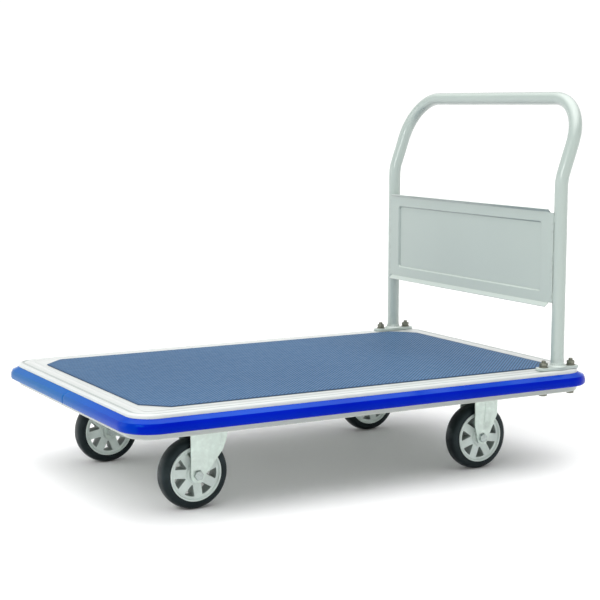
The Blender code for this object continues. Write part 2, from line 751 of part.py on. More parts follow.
def kingpin(side):
    """The swivel's centre pin, fixed in the mounting plate, with its head under the fork crown."""
    crown_low = CROWN_TOP - FORK_SHEET
    head_top = crown_low - RUN_GAP
    top = CASTOR_HEIGHT - GAP
    profile = [
        (KINGPIN_RADIUS, top),
        (KINGPIN_RADIUS, head_top),
        (KINGPIN_HEAD, head_top),
        (KINGPIN_HEAD, head_top - KINGPIN_HEAD_SHEET),
        (KINGPIN_RADIUS, head_top - KINGPIN_POINT),
        (KINGPIN_BORE, head_top - KINGPIN_POINT),
        (KINGPIN_BORE, top),
    ]
    place = (SWIVEL_X, side * CASTOR_Y, 0)
    return finish(turned(f"kingpin_{side_name(side)}", profile, STEPS_ROUND, place), BOLT_ZINC)


def ball_race(side, parent):
    """The ring of balls in its cage, between the fork crown and the upper track."""
    low = CROWN_TOP + GAP
    high = low + RACE_HEIGHT
    bulge = RACE_HEIGHT / 4
    profile = [
        (RACE_OUTER - bulge, high),
        (RACE_OUTER, (low + high) / 2),
        (RACE_OUTER - bulge, low),
        (RACE_INNER, low),
        (RACE_INNER, high),
    ]
    place = (SWIVEL_X, side * CASTOR_Y, 0)
    return finish(turned(f"ball_race_{side_name(side)}", profile, STEPS_ROUND, place), BOLT_ZINC, parent)


def axle_fasteners(label, axle, parent):
    """The axle bolt with its head on one side of the fork and the nut on the other."""
    place = {"location": axle, "rotation": (-math.pi / 2, 0, 0)}
    face = FORK_HALF + GAP
    end = FORK_HALF + AXLE_END
    hex_bolt(f"axle_bolt_{label}", AXLE_HEAD, AXLE_RADIUS, -face, end, WASHER_SHEET, parent, **place)
    hex_nut(f"axle_nut_{label}", AXLE_NUT, AXLE_WASHER, AXLE_RADIUS + GAP, face, parent, **place)


# --- Wheels -----------------------------------------------------------------------------------


def tyre(label, axle, parent):
    """Solid rubber tyre with a crowned tread and rounded shoulders."""
    half = [(WHEEL_RADIUS, 0.0)]
    half += [(WHEEL_RADIUS - drop, out) for drop, out in TYRE_SHOULDER]
    half.append((RIM_RADIUS + 4 * GAP, RIM_HALF - 2 * GAP))
    seat = (RIM_RADIUS + GAP, RIM_HALF - RIM_SLOPE)
    upper = [(radius, out) for radius, out in reversed(half)]
    lower = [(radius, -out) for radius, out in half[1:]]
    profile = [*upper, *lower, (seat[0], -seat[1]), seat]
    obj = turned(f"tyre_{label}", profile, STEPS_TYRE, axle, ALONG_Y)
    return finish(obj, TYRE_BLACK, parent)


def window_cutter(name, place, rotation):
    """The wheel's triangular windows as one cutter, each with its point towards the hub."""
    loops = []
    for index in range(WINDOW_COUNT):
        middle = 2 * math.pi * index / WINDOW_COUNT
        base = arc((0, 0), WINDOW_BASE, middle - WINDOW_HALF_ANGLE, middle + WINDOW_HALF_ANGLE, 3)
        tip = arc((0, 0), WINDOW_APEX, middle + WINDOW_TIP_ANGLE, middle - WINDOW_TIP_ANGLE, 1)
        loops.append(base + tip)
    return outline_object(name, loops, 4 * WEB_HALF, place, rotation, CUTTERS)


def wheel_centre(label, axle, parent, phase):
    """Moulded wheel body: rim with raised lips, recessed web with windows, and hub."""
    side = [
        (RIM_RADIUS, RIM_HALF),
        (RIM_RADIUS - RIM_LIP, RIM_HALF),
        (RIM_RADIUS - RIM_LIP - RIM_SLOPE, WEB_HALF),
        (HUB_RADIUS + RIM_SLOPE, WEB_HALF),
        (HUB_RADIUS, HUB_HALF),
        (BORE_RADIUS, HUB_HALF),
    ]
    profile = [side[0]] + [(radius, -out) for radius, out in side] + list(reversed(side[1:]))
    rotation = (math.pi / 2, -phase, 0)
    obj = turned(f"wheel_centre_{label}", profile, STEPS_TYRE, axle, rotation)
    combine(obj, window_cutter(f"windows_{label}", axle, rotation), "DIFFERENCE")
    return finish(obj, WHEEL_GREY, parent)


def wheel_sleeve(label, axle, parent):
    """Bearing sleeve pressed in the hub, running on the axle bolt."""
    out = HUB_HALF + GAP
    profile = [(SLEEVE_RADIUS, out), (SLEEVE_RADIUS, -out), (SLEEVE_BORE, -out), (SLEEVE_BORE, out)]
    obj = turned(f"wheel_sleeve_{label}", profile, STEPS_ROUND, axle, ALONG_Y)
    return finish(obj, BOLT_ZINC, parent)


def wheel(label, axle, phase, castor=None):
    spin = joint_empty(f"spin_{label}", axle, castor)
    tyre(label, axle, spin)
    wheel_centre(label, axle, spin, phase)
    wheel_sleeve(label, axle, spin)


def castors():
    """Two swivel castors at the front and two rigid ones at the handle end."""
    for side in (-1, 1):
        y = side * CASTOR_Y
        front = f"front_{side_name(side)}"
        axle = (SWIVEL_X - SWIVEL_TRAIL, y, WHEEL_RADIUS)
        turn = joint_empty(f"swivel_{side_name(side)}", (SWIVEL_X, y, CROWN_TOP))
        swivel_plate(side)
        kingpin(side)
        ball_race(side, turn)
        swivel_fork(side, axle, turn)
        axle_fasteners(front, axle, turn)
        wheel(front, axle, math.radians(WHEEL_PHASES[front]), turn)

        rear = f"rear_{side_name(side)}"
        axle = (RIGID_X - RIGID_AXLE_BACK, y, WHEEL_RADIUS)
        rigid_bracket(side, axle)
        axle_fasteners(rear, axle, None)
        wheel(rear, axle, math.radians(WHEEL_PHASES[rear]))


def main():
    deck_plate()
    deck_mat()
    edge_bumper()
    beams()
    handle()
    castors()


main()
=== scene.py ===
"""Looks of the platform trolley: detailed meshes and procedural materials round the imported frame.

Metres, +Z up, in the frame's own axes: +X points to the handle end, +Y across the deck.
"""

import math

import bmesh
import bpy
from mathutils import Matrix, Vector


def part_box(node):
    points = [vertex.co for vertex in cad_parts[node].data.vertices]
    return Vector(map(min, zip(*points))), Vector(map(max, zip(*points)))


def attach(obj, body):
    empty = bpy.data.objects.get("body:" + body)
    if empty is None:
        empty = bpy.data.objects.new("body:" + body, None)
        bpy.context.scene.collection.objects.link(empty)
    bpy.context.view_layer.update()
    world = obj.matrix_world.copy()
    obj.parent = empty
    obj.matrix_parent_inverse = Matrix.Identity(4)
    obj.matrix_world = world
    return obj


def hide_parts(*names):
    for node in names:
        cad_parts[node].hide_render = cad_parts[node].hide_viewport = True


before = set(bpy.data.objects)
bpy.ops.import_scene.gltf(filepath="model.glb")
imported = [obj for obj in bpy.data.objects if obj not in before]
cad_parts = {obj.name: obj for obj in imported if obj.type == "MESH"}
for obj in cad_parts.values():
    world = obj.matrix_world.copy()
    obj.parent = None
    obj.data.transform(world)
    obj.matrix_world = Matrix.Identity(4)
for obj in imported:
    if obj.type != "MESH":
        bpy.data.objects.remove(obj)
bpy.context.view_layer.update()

SIDES = {"near": -1, "far": 1}
CORNERS = [(-1, -1), (-1, 1), (1, -1), (1, 1)]
TAU = 2 * math.pi

# Deck and mat. A groove is its inset from the deck's side, its width and its depth.
DECK_CORNER = 0.05
DECK_SHEET = 0.002
DECK_LIP = 0.009
DECK_FOLD = 0.0035
DECK_FLAT_INSET = 0.046
SHOULDER = 0.0042
OUTER_GROOVE = (0.006, 0.0078, 0.0019)
INNER_GROOVE = (0.0325, 0.005, 0.0007)
MAT_CHAMFER = 0.05
DIAMOND = 0.0046
DIAMOND_RELIEF = 0.00075

# Bumper
BUMPER_GAP = 0.0003
BUMPER_DEPTH = 0.019
BUMPER_FOOT_RADIUS = 0.0065
NOSE_HEIGHT = 0.0105
CREASE_OUT = 0.015
CREASE_DROP = 0.0072
SEAM_Y = -0.013
SEAM_GAP = 0.0018
SEAM_ROUNDING = 0.0022

# Handle. A lip is its turn in radians and its straight reach.
TUBE_RADIUS = 0.015
BEND_HEIGHT = 0.6627
TILT = math.radians(19.5)
TILT_LENGTH = 0.1924
TILT_BEND = 0.1
HANDLE_CORNER = 0.105
FLANGE_WAIST = 0.0188
FLANGE_END = 0.0135
FLANGE_END_X = 0.0445
FLANGE_SHEET = 0.0067
PANEL_WELD = 0.0017
BEAM_WELD = 0.0022
PANEL_SHEET = 0.0015
PANEL_FLARE = 0.008
PANEL_FLARE_HALF = 0.3225
PANEL_FINE = 0.0008
RECESS_MARGIN = (0.0405, 0.0285)
RECESS_DEPTH = 0.0048
RECESS_SLOPE = 0.004
RECESS_CORNER = 0.01
LOWER_LIP = (0.85, 0.0115)
UPPER_LIP = (0.8, 0.008)
LIP_BEND = 0.003

# Bolts: radii of the head's corners, the washer and the shaft, and the thread's pitch
HANDLE_BOLT = (0.0092, 0.0108, 0.0049, 0.0015)
AXLE_BOLT = (0.0105, 0.0116, 0.0059, 0.00175)

# Castors. A leg is its left edge and its right edge, as (x, height) from the axle, and its round end's radius.
FORK_HALF = 0.027
FORK_SHEET = 0.003
FORK_BEND = 0.0085
SWIVEL_LEG = ([(-0.0165, 0.03)], [(0.0585, 0.046), (0.0675, 0.068), (0.071, 0.085)], 0.0165)
RIGID_LEG = ([(-0.022, 0.03)], [(0.0396, 0.052)], 0.015)
RIGID_FORK_BEND = 0.006
PLATE_SHEET = 0.004
PLATE_HALF_Y = 0.0525
PLATE_BOLT = (0.0525, 0.04)
BALLS = 24
BALL_RADIUS = 0.0026
RIM_RADIUS = 0.0575
RIM_HALF = 0.0198
WEB_HALF = 0.0152
HUB_RADIUS = 0.019
HUB_HALF = 0.0228
WINDOWS = 7
PHASES = {"front_near": -4.5, "front_far": 10.0, "rear_near": 17.4, "rear_far": 0.0}
# The tyre's shoulder: (drop below the tread's middle, distance from the wheel's middle plane)
TYRE_SHOULDER = [
    (0.0, 0.0), (0.00012, 0.003), (0.0004, 0.006), (0.0009, 0.0092), (0.0017, 0.012), (0.0029, 0.0143),
    (0.0045, 0.016), (0.0066, 0.0172), (0.0092, 0.018), (0.012, 0.0185), (0.0126, 0.0184), (0.0132, 0.0186),
]

COAT_ROUGHNESS = 0.05

# The bumper's painted reflection: its colour lightens to a sky-blue sheen round the front end, (start, end)
# along X, and along Y with its two strengths
SHEEN_X = (-0.549, -0.558)
SHEEN_Y = (-0.42, 0.1)
SHEEN_SHARE = (0.1, 0.72)

# Sky brightness by height: (from, to, value below, value above), added together
SKY_ZONES = [(0.1, 0.4, 1.05, 0.4), (0.6, 0.9, 0.0, 1.65)]
SUN_STRENGTH = 0.7
SUN_ANGLE = 50.0
SUN_AIM = (0.42, 0.4, -1.0)
# Softboxes: place, size and power
SOFTBOXES = {"key": ((-2.35, -1.35, 1.9), (1.1, 0.8), 24.0), "side": ((-3.2, 1.4, 1.2), (1.6, 1.4), 12.0)}
LIGHT_TARGET = (0.0, 0.0, 0.25)

# Camera: yaw, pitch and roll in degrees, its place, and its lens with the sideways and upright shifts
CAMERA_TURN = (29.738, 6.829, 0.225)
CAMERA_PLACE = (-1.6517, -2.9244, 0.8206)
CAMERA_LENS = 88.54
CAMERA_SHIFT = (-0.0068, -0.0261)


# --- Node graphs ---


class Graph:
    """A material's node tree, with short calls for the nodes used here."""

    def __init__(self, name, colour, roughness, metallic=0.0, specular=0.5, coat=0.0, tint=(1.0, 1.0, 1.0)):
        self.material = bpy.data.materials.new(name)
        self.material.use_nodes = True
        self.tree = self.material.node_tree
        self.shader = self.tree.nodes["Principled BSDF"]
        settings = {
            "Base Color": (*colour, 1.0), "Roughness": roughness, "Metallic": metallic,
            "Specular IOR Level": specular, "Specular Tint": (*tint, 1.0),
            "Coat Weight": coat, "Coat Roughness": COAT_ROUGHNESS,
        }
        for name, value in settings.items():
            self.shader.inputs[name].default_value = value
        self.place = self.node("TexCoord").outputs["Object"]

    def node(self, kind, **inputs):
        """A new node; its inputs take a value or a link, with _ for a space in their names."""
        node = self.tree.nodes.new("ShaderNode" + kind)
        for name, value in inputs.items():
            self.give(node.inputs[name.replace("_", " ")], value)
        return node

    def give(self, socket, value):
        if isinstance(value, bpy.types.NodeSocket):
            self.tree.links.new(value, socket)
        else:
            socket.default_value = value

    def noise(self, scale, detail=3.0, rough=0.5, stretch=None, distortion=0.0):
        """Noise from 0 to 1. A stretch under 1 along an axis draws the pattern out along it."""
        vector = self.place
        if stretch:
            vector = self.node("Mapping", Vector=vector, Scale=stretch).outputs["Vector"]
        node = self.node(
            "TexNoise", Vector=vector, Scale=scale, Detail=detail, Roughness=rough, Distortion=distortion
        )
        return node.outputs["Fac"]

    def cells(self, scale):
        return self.node("TexVoronoi", Vector=self.place, Scale=scale).outputs["Distance"]

    def ramp(self, value, low, high, to_low=0.0, to_high=1.0):
        """Smoothly takes the range low to high over to the range to_low to to_high."""
        node = self.node("MapRange", Value=value, From_Min=low, From_Max=high, To_Min=to_low, To_Max=to_high)
        node.interpolation_type = "SMOOTHSTEP"
        return node.outputs["Result"]

    def math(self, operation, first, second):
        node = self.node("Math")
        node.operation = operation
        self.give(node.inputs[0], first)
        self.give(node.inputs[1], second)
        return node.outputs[0]

    def mix(self, share, first, second):
        node = self.node("Mix")
        node.data_type = "RGBA"
        self.give(node.inputs["Factor"], share)
        for socket, value in ((node.inputs[6], first), (node.inputs[7], second)):
            self.give(socket, (*value, 1.0) if isinstance(value, tuple) else value)
        return node.outputs[2]

    def bump(self, height, distance, strength=1.0, normal=None):
        node = self.node("Bump", Height=height, Distance=distance, Strength=strength)
        if normal is not None:
            self.give(node.inputs["Normal"], normal)
        return node.outputs["Normal"]

    def edges(self, low, high):
        """Rises with how far a spot juts out: over 0.5 on outward edges, under it in creases."""
        return self.ramp(self.node("NewGeometry").outputs["Pointiness"], low, high)

    def split(self, vector):
        return self.node("SeparateXYZ", Vector=vector).outputs

    def normal_z(self):
        return self.split(self.node("NewGeometry").outputs["Normal"])["Z"]

    def height(self):
        return self.split(self.place)["Z"]

    def finish(self, colour=None, roughness=None, normal=None):
        for name, value in (("Base Color", colour), ("Roughness", roughness), ("Normal", normal)):
            if value is not None:
                self.give(self.shader.inputs[name], value)
        return self.material


def shade(colour, factor):
    return tuple(c * factor for c in colour)


def painted(name, colour, scuff_and_shade, roughness, shade_below=None, upper=None):
    """Glossy powder coat: faint orange peel, slow tone changes, fine scuffs, and painted shade that darkens the
    creases. Under an optional height it darkens as painted shade, and with an optional upper colour the faces
    that look up lighten as a painted highlight while faces that look down darken as painted shade."""
    g = Graph(name, colour, roughness, specular=0.4, coat=0.7)
    tone = g.noise(2.2, 2.0)
    base = g.mix(g.ramp(tone, 0.2, 0.8), shade(colour, 0.975), shade(colour, 1.02))
    specks = g.ramp(g.noise(160.0, 3.0, 0.6), 0.74, 0.86, 0.0, 0.14)
    smears = g.ramp(g.noise(5.0, 2.0, 0.4, (1.0, 1.0, 0.3)), 0.3, 0.9, 0.0, 0.06)
    scratches = g.ramp(g.noise(40.0, 2.0, 0.5, (0.12, 0.12, 9.0)), 0.78, 0.86, 0.0, 0.08)
    for share in (specks, smears, scratches):
        base = g.mix(share, base, scuff_and_shade)
    worn = g.math("MULTIPLY", g.edges(0.53, 0.6), g.ramp(g.noise(90.0, 5.0), 0.45, 0.62))
    base = g.mix(g.math("MULTIPLY", worn, 0.35), base, shade(scuff_and_shade, 0.8))
    # Painted shade: creases darken towards the scuff colour, standing in for the shade that falls in them
    base = g.mix(g.math("MULTIPLY", g.edges(0.49, 0.462), 0.85), base, shade(scuff_and_shade, 0.6))
    # Painted highlight and painted shade: faces that look up lighten towards the upper colour, faces that look
    # down darken towards the scuff colour
    if upper is not None:
        base = g.mix(g.ramp(g.normal_z(), 0.25, 0.8, 0.0, 0.8), base, upper)
        base = g.mix(g.ramp(g.normal_z(), -0.2, -0.8, 0.0, 0.6), base, scuff_and_shade)
    # Painted shade under the bumper: below the given height the paint darkens
    if shade_below is not None:
        dust = g.ramp(g.height(), shade_below + 0.01, shade_below - 0.01, 0.0, 0.75)
        base = g.mix(dust, base, shade(scuff_and_shade, 0.72))
    rough = g.ramp(g.noise(6.0, 2.0, 0.4), 0.15, 0.85, roughness - 0.03, roughness + 0.05)
    return g.finish(base, rough, g.bump(g.noise(90.0, 1.0), 0.00006, 0.15))


def vinyl_mat(name):
    """Blue vinyl: lighter, rubbed ridges, grooves darkened as painted shade, and faint pale streaks of use."""
    g = Graph(name, (0.1, 0.19, 0.33), 0.5, specular=0.3)
    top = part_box("deck_mat")[1].z
    # Ridges are lighter from rubbing; the nearly black grooves are painted shade
    ridge = g.ramp(g.height(), top - DIAMOND_RELIEF, top)
    base = g.mix(ridge, (0.008, 0.028, 0.075), (0.07, 0.185, 0.355))
    cloud = g.ramp(g.noise(3.0, 2.0, 0.4, (1.0, 1.6, 1.0)), 0.3, 0.75)
    base = g.mix(g.math("MULTIPLY", cloud, 0.1), base, (0.1, 0.215, 0.39))
    streak = g.ramp(g.noise(60.0, 4.0, 0.6, (0.1, 1.0, 1.0)), 0.64, 0.84, 0.0, 0.08)
    base = g.mix(streak, base, (0.15, 0.27, 0.43))
    grit = g.ramp(g.noise(160.0, 4.0, 0.7), 0.6, 0.78, 0.0, 0.35)
    base = g.mix(grit, base, (0.04, 0.075, 0.14))
    rough = g.ramp(g.noise(60.0, 4.0), 0.3, 0.7, 0.5, 0.58)
    normal = g.bump(g.noise(900.0, 3.0), 0.0001, 0.4)
    return g.finish(base, rough, normal)


def vinyl_bumper(name, dark, light, rub_and_sheen, specular):
    """Glossy extruded vinyl: fine lines along the strip, dull rubs, and a painted reflection that lightens the
    front end.
    """
    g = Graph(name, dark, 0.14, specular=specular, tint=(0.05, 0.75, 1.0))
    base = g.mix(g.ramp(g.noise(5.0, 4.0, 0.5), 0.3, 0.7), dark, light)
    # Painted reflection: the front end takes the lighter colour, which the rubs below share
    place = g.split(g.place)
    fade = g.math("MULTIPLY", g.ramp(place["X"], *SHEEN_X), g.ramp(place["Y"], *SHEEN_Y, *SHEEN_SHARE))
    base = g.mix(fade, base, rub_and_sheen)
    rubs = g.ramp(g.noise(22.0, 6.0, 0.7, (1.0, 1.0, 5.0), 0.5), 0.66, 0.8, 0.0, 0.15)
    base = g.mix(rubs, base, rub_and_sheen)
    rough = g.math("ADD", g.ramp(g.noise(30.0, 3.0), 0.3, 0.7, 0.09, 0.17), g.math("MULTIPLY", rubs, 0.5))
    normal = g.bump(g.noise(1.0, 2.0, 0.5, (2.0, 2.0, 420.0)), 0.0002, 0.08)
    normal = g.bump(g.noise(35.0, 2.0), 0.0005, 0.1, normal)
    return g.finish(base, rough, normal)


def zinc(name, colour, warm, roughness, scale):
    """Zinc plate: soft mottling, brushed draw lines, and darker stained patches."""
    g = Graph(name, colour, roughness, metallic=0.88, specular=0.5)
    mottle = g.ramp(g.noise(scale, 6.0, 0.65, None, 0.6), 0.32, 0.7)
    base = g.mix(mottle, shade(colour, 0.78), shade(colour, 1.1))
    spangle = g.ramp(g.cells(scale * 3.2), 0.1, 0.6, 0.0, 0.24)
    base = g.mix(spangle, base, warm)
    stain = g.ramp(g.noise(scale * 0.6, 5.0, 0.7), 0.6, 0.8, 0.0, 0.35)
    base = g.mix(stain, base, shade(warm, 0.72))
    draw = g.noise(40.0, 3.0, 0.6, (12.0, 12.0, 0.8))
    rough = g.ramp(mottle, 0.0, 1.0, roughness - 0.06, roughness + 0.14)
    rough = g.math("ADD", rough, g.math("MULTIPLY", draw, 0.1))
    normal = g.bump(g.noise(55.0, 4.0), 0.0006, 0.3)
    normal = g.bump(draw, 0.00008, 0.35, normal)
    return g.finish(base, rough, normal)


def rubber(name):
    """Black moulded rubber: greyish bloom, fine grain, and dust ground into the tread."""
    g = Graph(name, (0.004, 0.008, 0.009), 0.45, specular=0.3, tint=(0.75, 0.97, 1.0))
    bloom = g.ramp(g.noise(28.0, 6.0, 0.65), 0.4, 0.78)
    base = g.mix(bloom, (0.003, 0.005, 0.006), (0.01, 0.014, 0.016))
    dust = g.ramp(g.noise(85.0, 6.0, 0.75), 0.62, 0.85, 0.0, 0.22)
    base = g.mix(dust, base, (0.036, 0.046, 0.045))
    rough = g.ramp(g.noise(45.0, 4.0), 0.3, 0.7, 0.3, 0.52)
    normal = g.bump(g.noise(700.0, 3.0), 0.00015, 0.5)
    normal = g.bump(g.cells(140.0), 0.0002, 0.25, normal)
    return g.finish(base, rough, normal)


def nylon(name, colour):
    """Moulded nylon with a fine spark-eroded grain, slow tone changes and patches of grime."""
    g = Graph(name, colour, 0.4, specular=0.5)
    tone = g.ramp(g.noise(24.0, 5.0, 0.6), 0.3, 0.7)
    base = g.mix(tone, shade(colour, 0.93), shade(colour, 1.06))
    grime = g.ramp(g.noise(50.0, 5.0), 0.52, 0.7, 0.0, 0.2)
    base = g.mix(grime, base, shade(colour, 0.55))
    specks = g.ramp(g.noise(210.0, 5.0, 0.7), 0.63, 0.8, 0.0, 0.32)
    base = g.mix(specks, base, shade(colour, 0.42))
    rough = g.ramp(g.noise(60.0, 4.0), 0.3, 0.7, 0.34, 0.52)
    normal = g.bump(g.noise(520.0, 3.0), 0.00018, 0.45)
    return g.finish(base, rough, normal)


def pale_floor(name):
    """Near-white floor with a faint change of tone."""
    g = Graph(name, (0.955, 0.955, 0.95), 0.75, specular=0.1)
    tone = g.ramp(g.noise(1.5, 3.0), 0.3, 0.7)
    return g.finish(g.mix(tone, (0.95, 0.95, 0.945), (0.96, 0.96, 0.955)))


# Finishes: a material paired with a slot name
DECK_PAINT = painted("deck_paint", (0.6, 0.63, 0.615), (0.42, 0.43, 0.41), 0.36), "deck_paint"
# The upper colour is a painted highlight on the handle's up-facing faces
HANDLE_PAINT = (
    painted("handle_paint", (0.375, 0.44, 0.41), (0.24, 0.27, 0.255), 0.34, upper=(0.56, 0.63, 0.59)),
    "handle_paint",
)
MAT_VINYL = vinyl_mat("mat_vinyl"), "mat_vinyl"
BUMPER_VINYL = (
    vinyl_bumper("bumper_vinyl", (0.0005, 0.006, 0.33), (0.001, 0.009, 0.38), (0.002, 0.125, 0.27), 0.12),
    "bumper_vinyl",
)
CASTOR_ZINC = zinc("castor_zinc", (0.64, 0.73, 0.68), (0.42, 0.49, 0.45), 0.37, 26.0), "castor_zinc"
BOLT_ZINC = zinc("bolt_zinc", (0.23, 0.24, 0.2), (0.18, 0.175, 0.12), 0.37, 90.0), "bolt_zinc"
PLATED_HEAD = zinc("plated_head", (0.5, 0.57, 0.55), (0.28, 0.31, 0.3), 0.36, 90.0), "bolt_zinc"
TYRE_RUBBER = rubber("tyre_rubber"), "tyre_rubber"
WHEEL_NYLON = nylon("wheel_nylon", (0.6, 0.68, 0.645)), "wheel_plastic"

# Second materials, for some faces of a piece
# Painted shade: a darker copy of the deck paint for the tray's wall and folded lip, darker still below the
# bumper's foot
DECK_WALL_SHADE_PAINT = painted(
    "deck_wall_shade_paint", (0.54, 0.575, 0.54), (0.42, 0.46, 0.42), 0.38, shade_below=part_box("edge_bumper")[0].z
)
# Painted shade: a darker copy of the deck paint for the outer groove's faces
GROOVE_SHADE_PAINT = painted("deck_groove_shade_paint", (0.4, 0.44, 0.425), (0.32, 0.35, 0.33), 0.36)
# Painted highlight: a lighter copy of the bumper vinyl for the up-facing bevel above the crease
BEVEL_SHEEN_VINYL = vinyl_bumper(
    "bumper_bevel_sheen_vinyl", (0.001, 0.028, 0.4), (0.002, 0.046, 0.46), (0.003, 0.12, 0.33), 0.2
)
# Painted shade: a dark copy of the wheel nylon for the windows' inner walls
WINDOW_SHADE_NYLON = nylon("window_shade_nylon", (0.27, 0.32, 0.3))


# --- Mesh helpers ---


def add_object(name, data):
    obj = bpy.data.objects.new(name, data)
    bpy.context.scene.collection.objects.link(obj)
    return obj


def piece(name, bm, finish, replaces=(), place=None, body="platform", sharp=32.0):
    """Makes the mesh an object, gives it its finish's material, ties it to its body, and hides the CAD nodes it
    replaces.
    """
    material, slot = finish
    bmesh.ops.recalc_face_normals(bm, faces=bm.faces)
    if place is not None:
        bm.transform(place)
    mesh = bpy.data.meshes.new(name)
    bm.to_mesh(mesh)
    bm.free()
    mesh.materials.append(material)
    mesh.shade_smooth()
    mesh.set_sharp_from_angle(angle=math.radians(sharp))
    obj = add_object(name, mesh)
    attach(obj, body)
    if replaces:
        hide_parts(*replaces)
    return obj


def arc(centre, radius, start, end, steps):
    angles = [start + (end - start) * i / steps for i in range(steps + 1)]
    return [(centre[0] + radius * math.cos(a), centre[1] + radius * math.sin(a)) for a in angles]


def rounded_rectangle(half_x, half_y, radius, steps, support=0.003):
    """Counter-clockwise outline from the -X side. Support points keep the long sides' shading flat."""
    points = []
    for sign_x, sign_y, start in ((-1, -1, 1.0), (1, -1, 1.5), (1, 1, 2.0), (-1, 1, 2.5)):
        centre = (sign_x * (half_x - radius), sign_y * (half_y - radius))
        corner = arc(centre, radius, start * math.pi, (start + 0.5) * math.pi, steps)
        along, across = support * math.cos(start * math.pi), support * math.sin(start * math.pi)
        (x0, y0), (x1, y1) = corner[0], corner[-1]
        points += [(x0 + across, y0 - along), *corner, (x1 - along, y1 - across)]
    return points


def loft(bm, rings, closed=True, caps=False, join_ends=False):
    """Skins faces between rings of equal length; closed rings go round, join_ends ties last to first."""
    rows = [[bm.verts.new(point) for point in ring] for ring in rings]
    count = len(rows[0])
    pairs = list(zip(rows, rows[1:]))
    if join_ends:
        pairs.append((rows[-1], rows[0]))
    for low, high in pairs:
        for i in range(count if closed else count - 1):
            j = (i + 1) % count
            bm.faces.new((low[i], low[j], high[j], high[i]))
    if caps:
        bm.faces.new(rows[0][::-1])
        bm.faces.new(rows[-1])
    return rows


def polar(radius, angle, height):
    return (radius * math.cos(angle), radius * math.sin(angle), height)


def lathe(bm, profile, steps, wobble=lambda angle, radius, height: 0.0):
    """Turns a closed (radius, height) profile about Z; wobble shifts the radius."""
    rings = []
    for i in range(steps):
        angle = TAU * i / steps
        rings.append([polar(r + wobble(angle, r, height), angle, height) for r, height in profile])
    loft(bm, rings, join_ends=True)


def sweep(bm, path, radius, sides, wobble=lambda index, angle: 0.0):
    """A round bar along a path of points, with closed ends."""
    path = [Vector(p) for p in path]
    normal = None
    rings = []
    for i, point in enumerate(path):
        ahead = path[min(i + 1, len(path) - 1)] - path[max(i - 1, 0)]
        ahead.normalize()
        if normal is None:
            normal = ahead.orthogonal().normalized()
        normal = (normal - ahead * normal.dot(ahead)).normalized()
        side = ahead.cross(normal)
        ring = []
        for angle in [TAU * k / sides for k in range(sides)]:
            out = math.cos(angle) * normal + math.sin(angle) * side
            ring.append(point + (radius + wobble(i, angle)) * out)
        rings.append(ring)
    loft(bm, rings, caps=True)


def weld(name, path, radius, finish):
    """A rippled weld bead along a path."""
    steps = max(6, int(sum((Vector(b) - Vector(a)).length for a, b in zip(path, path[1:])) / 0.0012))
    points = []
    total = len(path) - 1
    for i in range(steps + 1):
        position = total * i / steps
        k = min(int(position), total - 1)
        points.append(Vector(path[k]).lerp(Vector(path[k + 1]), position - k))

    def ripple(i, angle):
        taper = min(1.0, 0.35 + i / 3.0, 0.35 + (steps - i) / 3.0)
        return radius * (taper - 1.0 + 0.13 * math.sin(2.1 * i) + 0.07 * math.sin(5.3 * i + 3.0 * angle))

    bm = bmesh.new()
    sweep(bm, points, radius, 8, ripple)
    piece(name, bm, finish, sharp=60.0)


def smooth_step(value):
    value = min(max(value, 0.0), 1.0)
    return value * value * (3.0 - 2.0 * value)


def spread(low, high, step):
    """Evenly spaced values from low to high, about a step apart."""
    count = max(1, round((high - low) / step))
    return [low + (high - low) * i / count for i in range(count + 1)]


def box_middle(node):
    low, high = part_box(node)
    return (low + high) / 2


def upright(spot):
    """Moves a piece made about Z to a spot seen from above."""
    return Matrix.Translation((spot[0], spot[1], 0))


def across_y(place, turn=0.0):
    """Stands a piece made about Z on its side, its axis along -Y to +Y, at a place."""
    return Matrix.Translation(place) @ Matrix.Rotation(-turn, 4, "Y") @ Matrix.Rotation(math.pi / 2, 4, "X")


# --- Deck ---


def deck():
    """The pressed tray: flat top, fine groove, rounded shoulder, wall and folded lip."""
    low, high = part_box("deck_plate")
    height = high.z - low.z
    section = [(DECK_FLAT_INSET, 0.0)]
    for inset, width, depth in (INNER_GROOVE, OUTER_GROOVE):
        groove_start = len(section)
        for i in range(11):
            across = i / 10
            section.append((inset + width * (1 - across), -depth * math.sin(math.pi * across)))
    groove_shade_rings = range(groove_start + 1, groove_start + 9)
    wall_start = len(section) + 8
    section += [(SHOULDER - x, z - SHOULDER) for x, z in arc((0, 0), SHOULDER, math.pi / 2, 0.0, 8)]
    section += [(DECK_FOLD - x, DECK_FOLD - height + z) for x, z in arc((0, 0), DECK_FOLD, 0.0, -math.pi / 2, 5)]
    section.append((DECK_LIP, -height))
    section.append((DECK_LIP, DECK_SHEET - height))
    inner = DECK_FOLD - DECK_SHEET
    section += [(DECK_FOLD - x, DECK_FOLD - height + z) for x, z in arc((0, 0), inner, -math.pi / 2, 0.0, 3)]
    section += [(SHOULDER - x, z - SHOULDER) for x, z in arc((0, 0), SHOULDER - DECK_SHEET, 0.0, math.pi / 2, 4)]
    section.append((DECK_FLAT_INSET, -DECK_SHEET))
    rings = []
    for inset, drop in section:
        outline = rounded_rectangle(high.x - inset, high.y - inset, max(DECK_CORNER - inset, 0.004), 14)
        rings.append([(x, y, high.z + drop) for x, y in outline])
    bm = bmesh.new()
    rows = loft(bm, rings, caps=True)
    ring_of = {vert: index for index, row in enumerate(rows) for vert in row}
    # Painted shade: faces in the outer groove take the darker groove paint
    for face in bm.faces:
        ring = min(ring_of[vert] for vert in face.verts)
        if ring in groove_shade_rings:
            face.material_index = 1
        elif wall_start <= ring < len(rows) - 1:
            face.material_index = 2
    tray = piece("deck_tray", bm, DECK_PAINT, ["deck_plate"], sharp=50.0)
    tray.data.materials.append(GROOVE_SHADE_PAINT)
    # The wall and lip faces take the darker wall paint, a painted shade
    tray.data.materials.append(DECK_WALL_SHADE_PAINT)


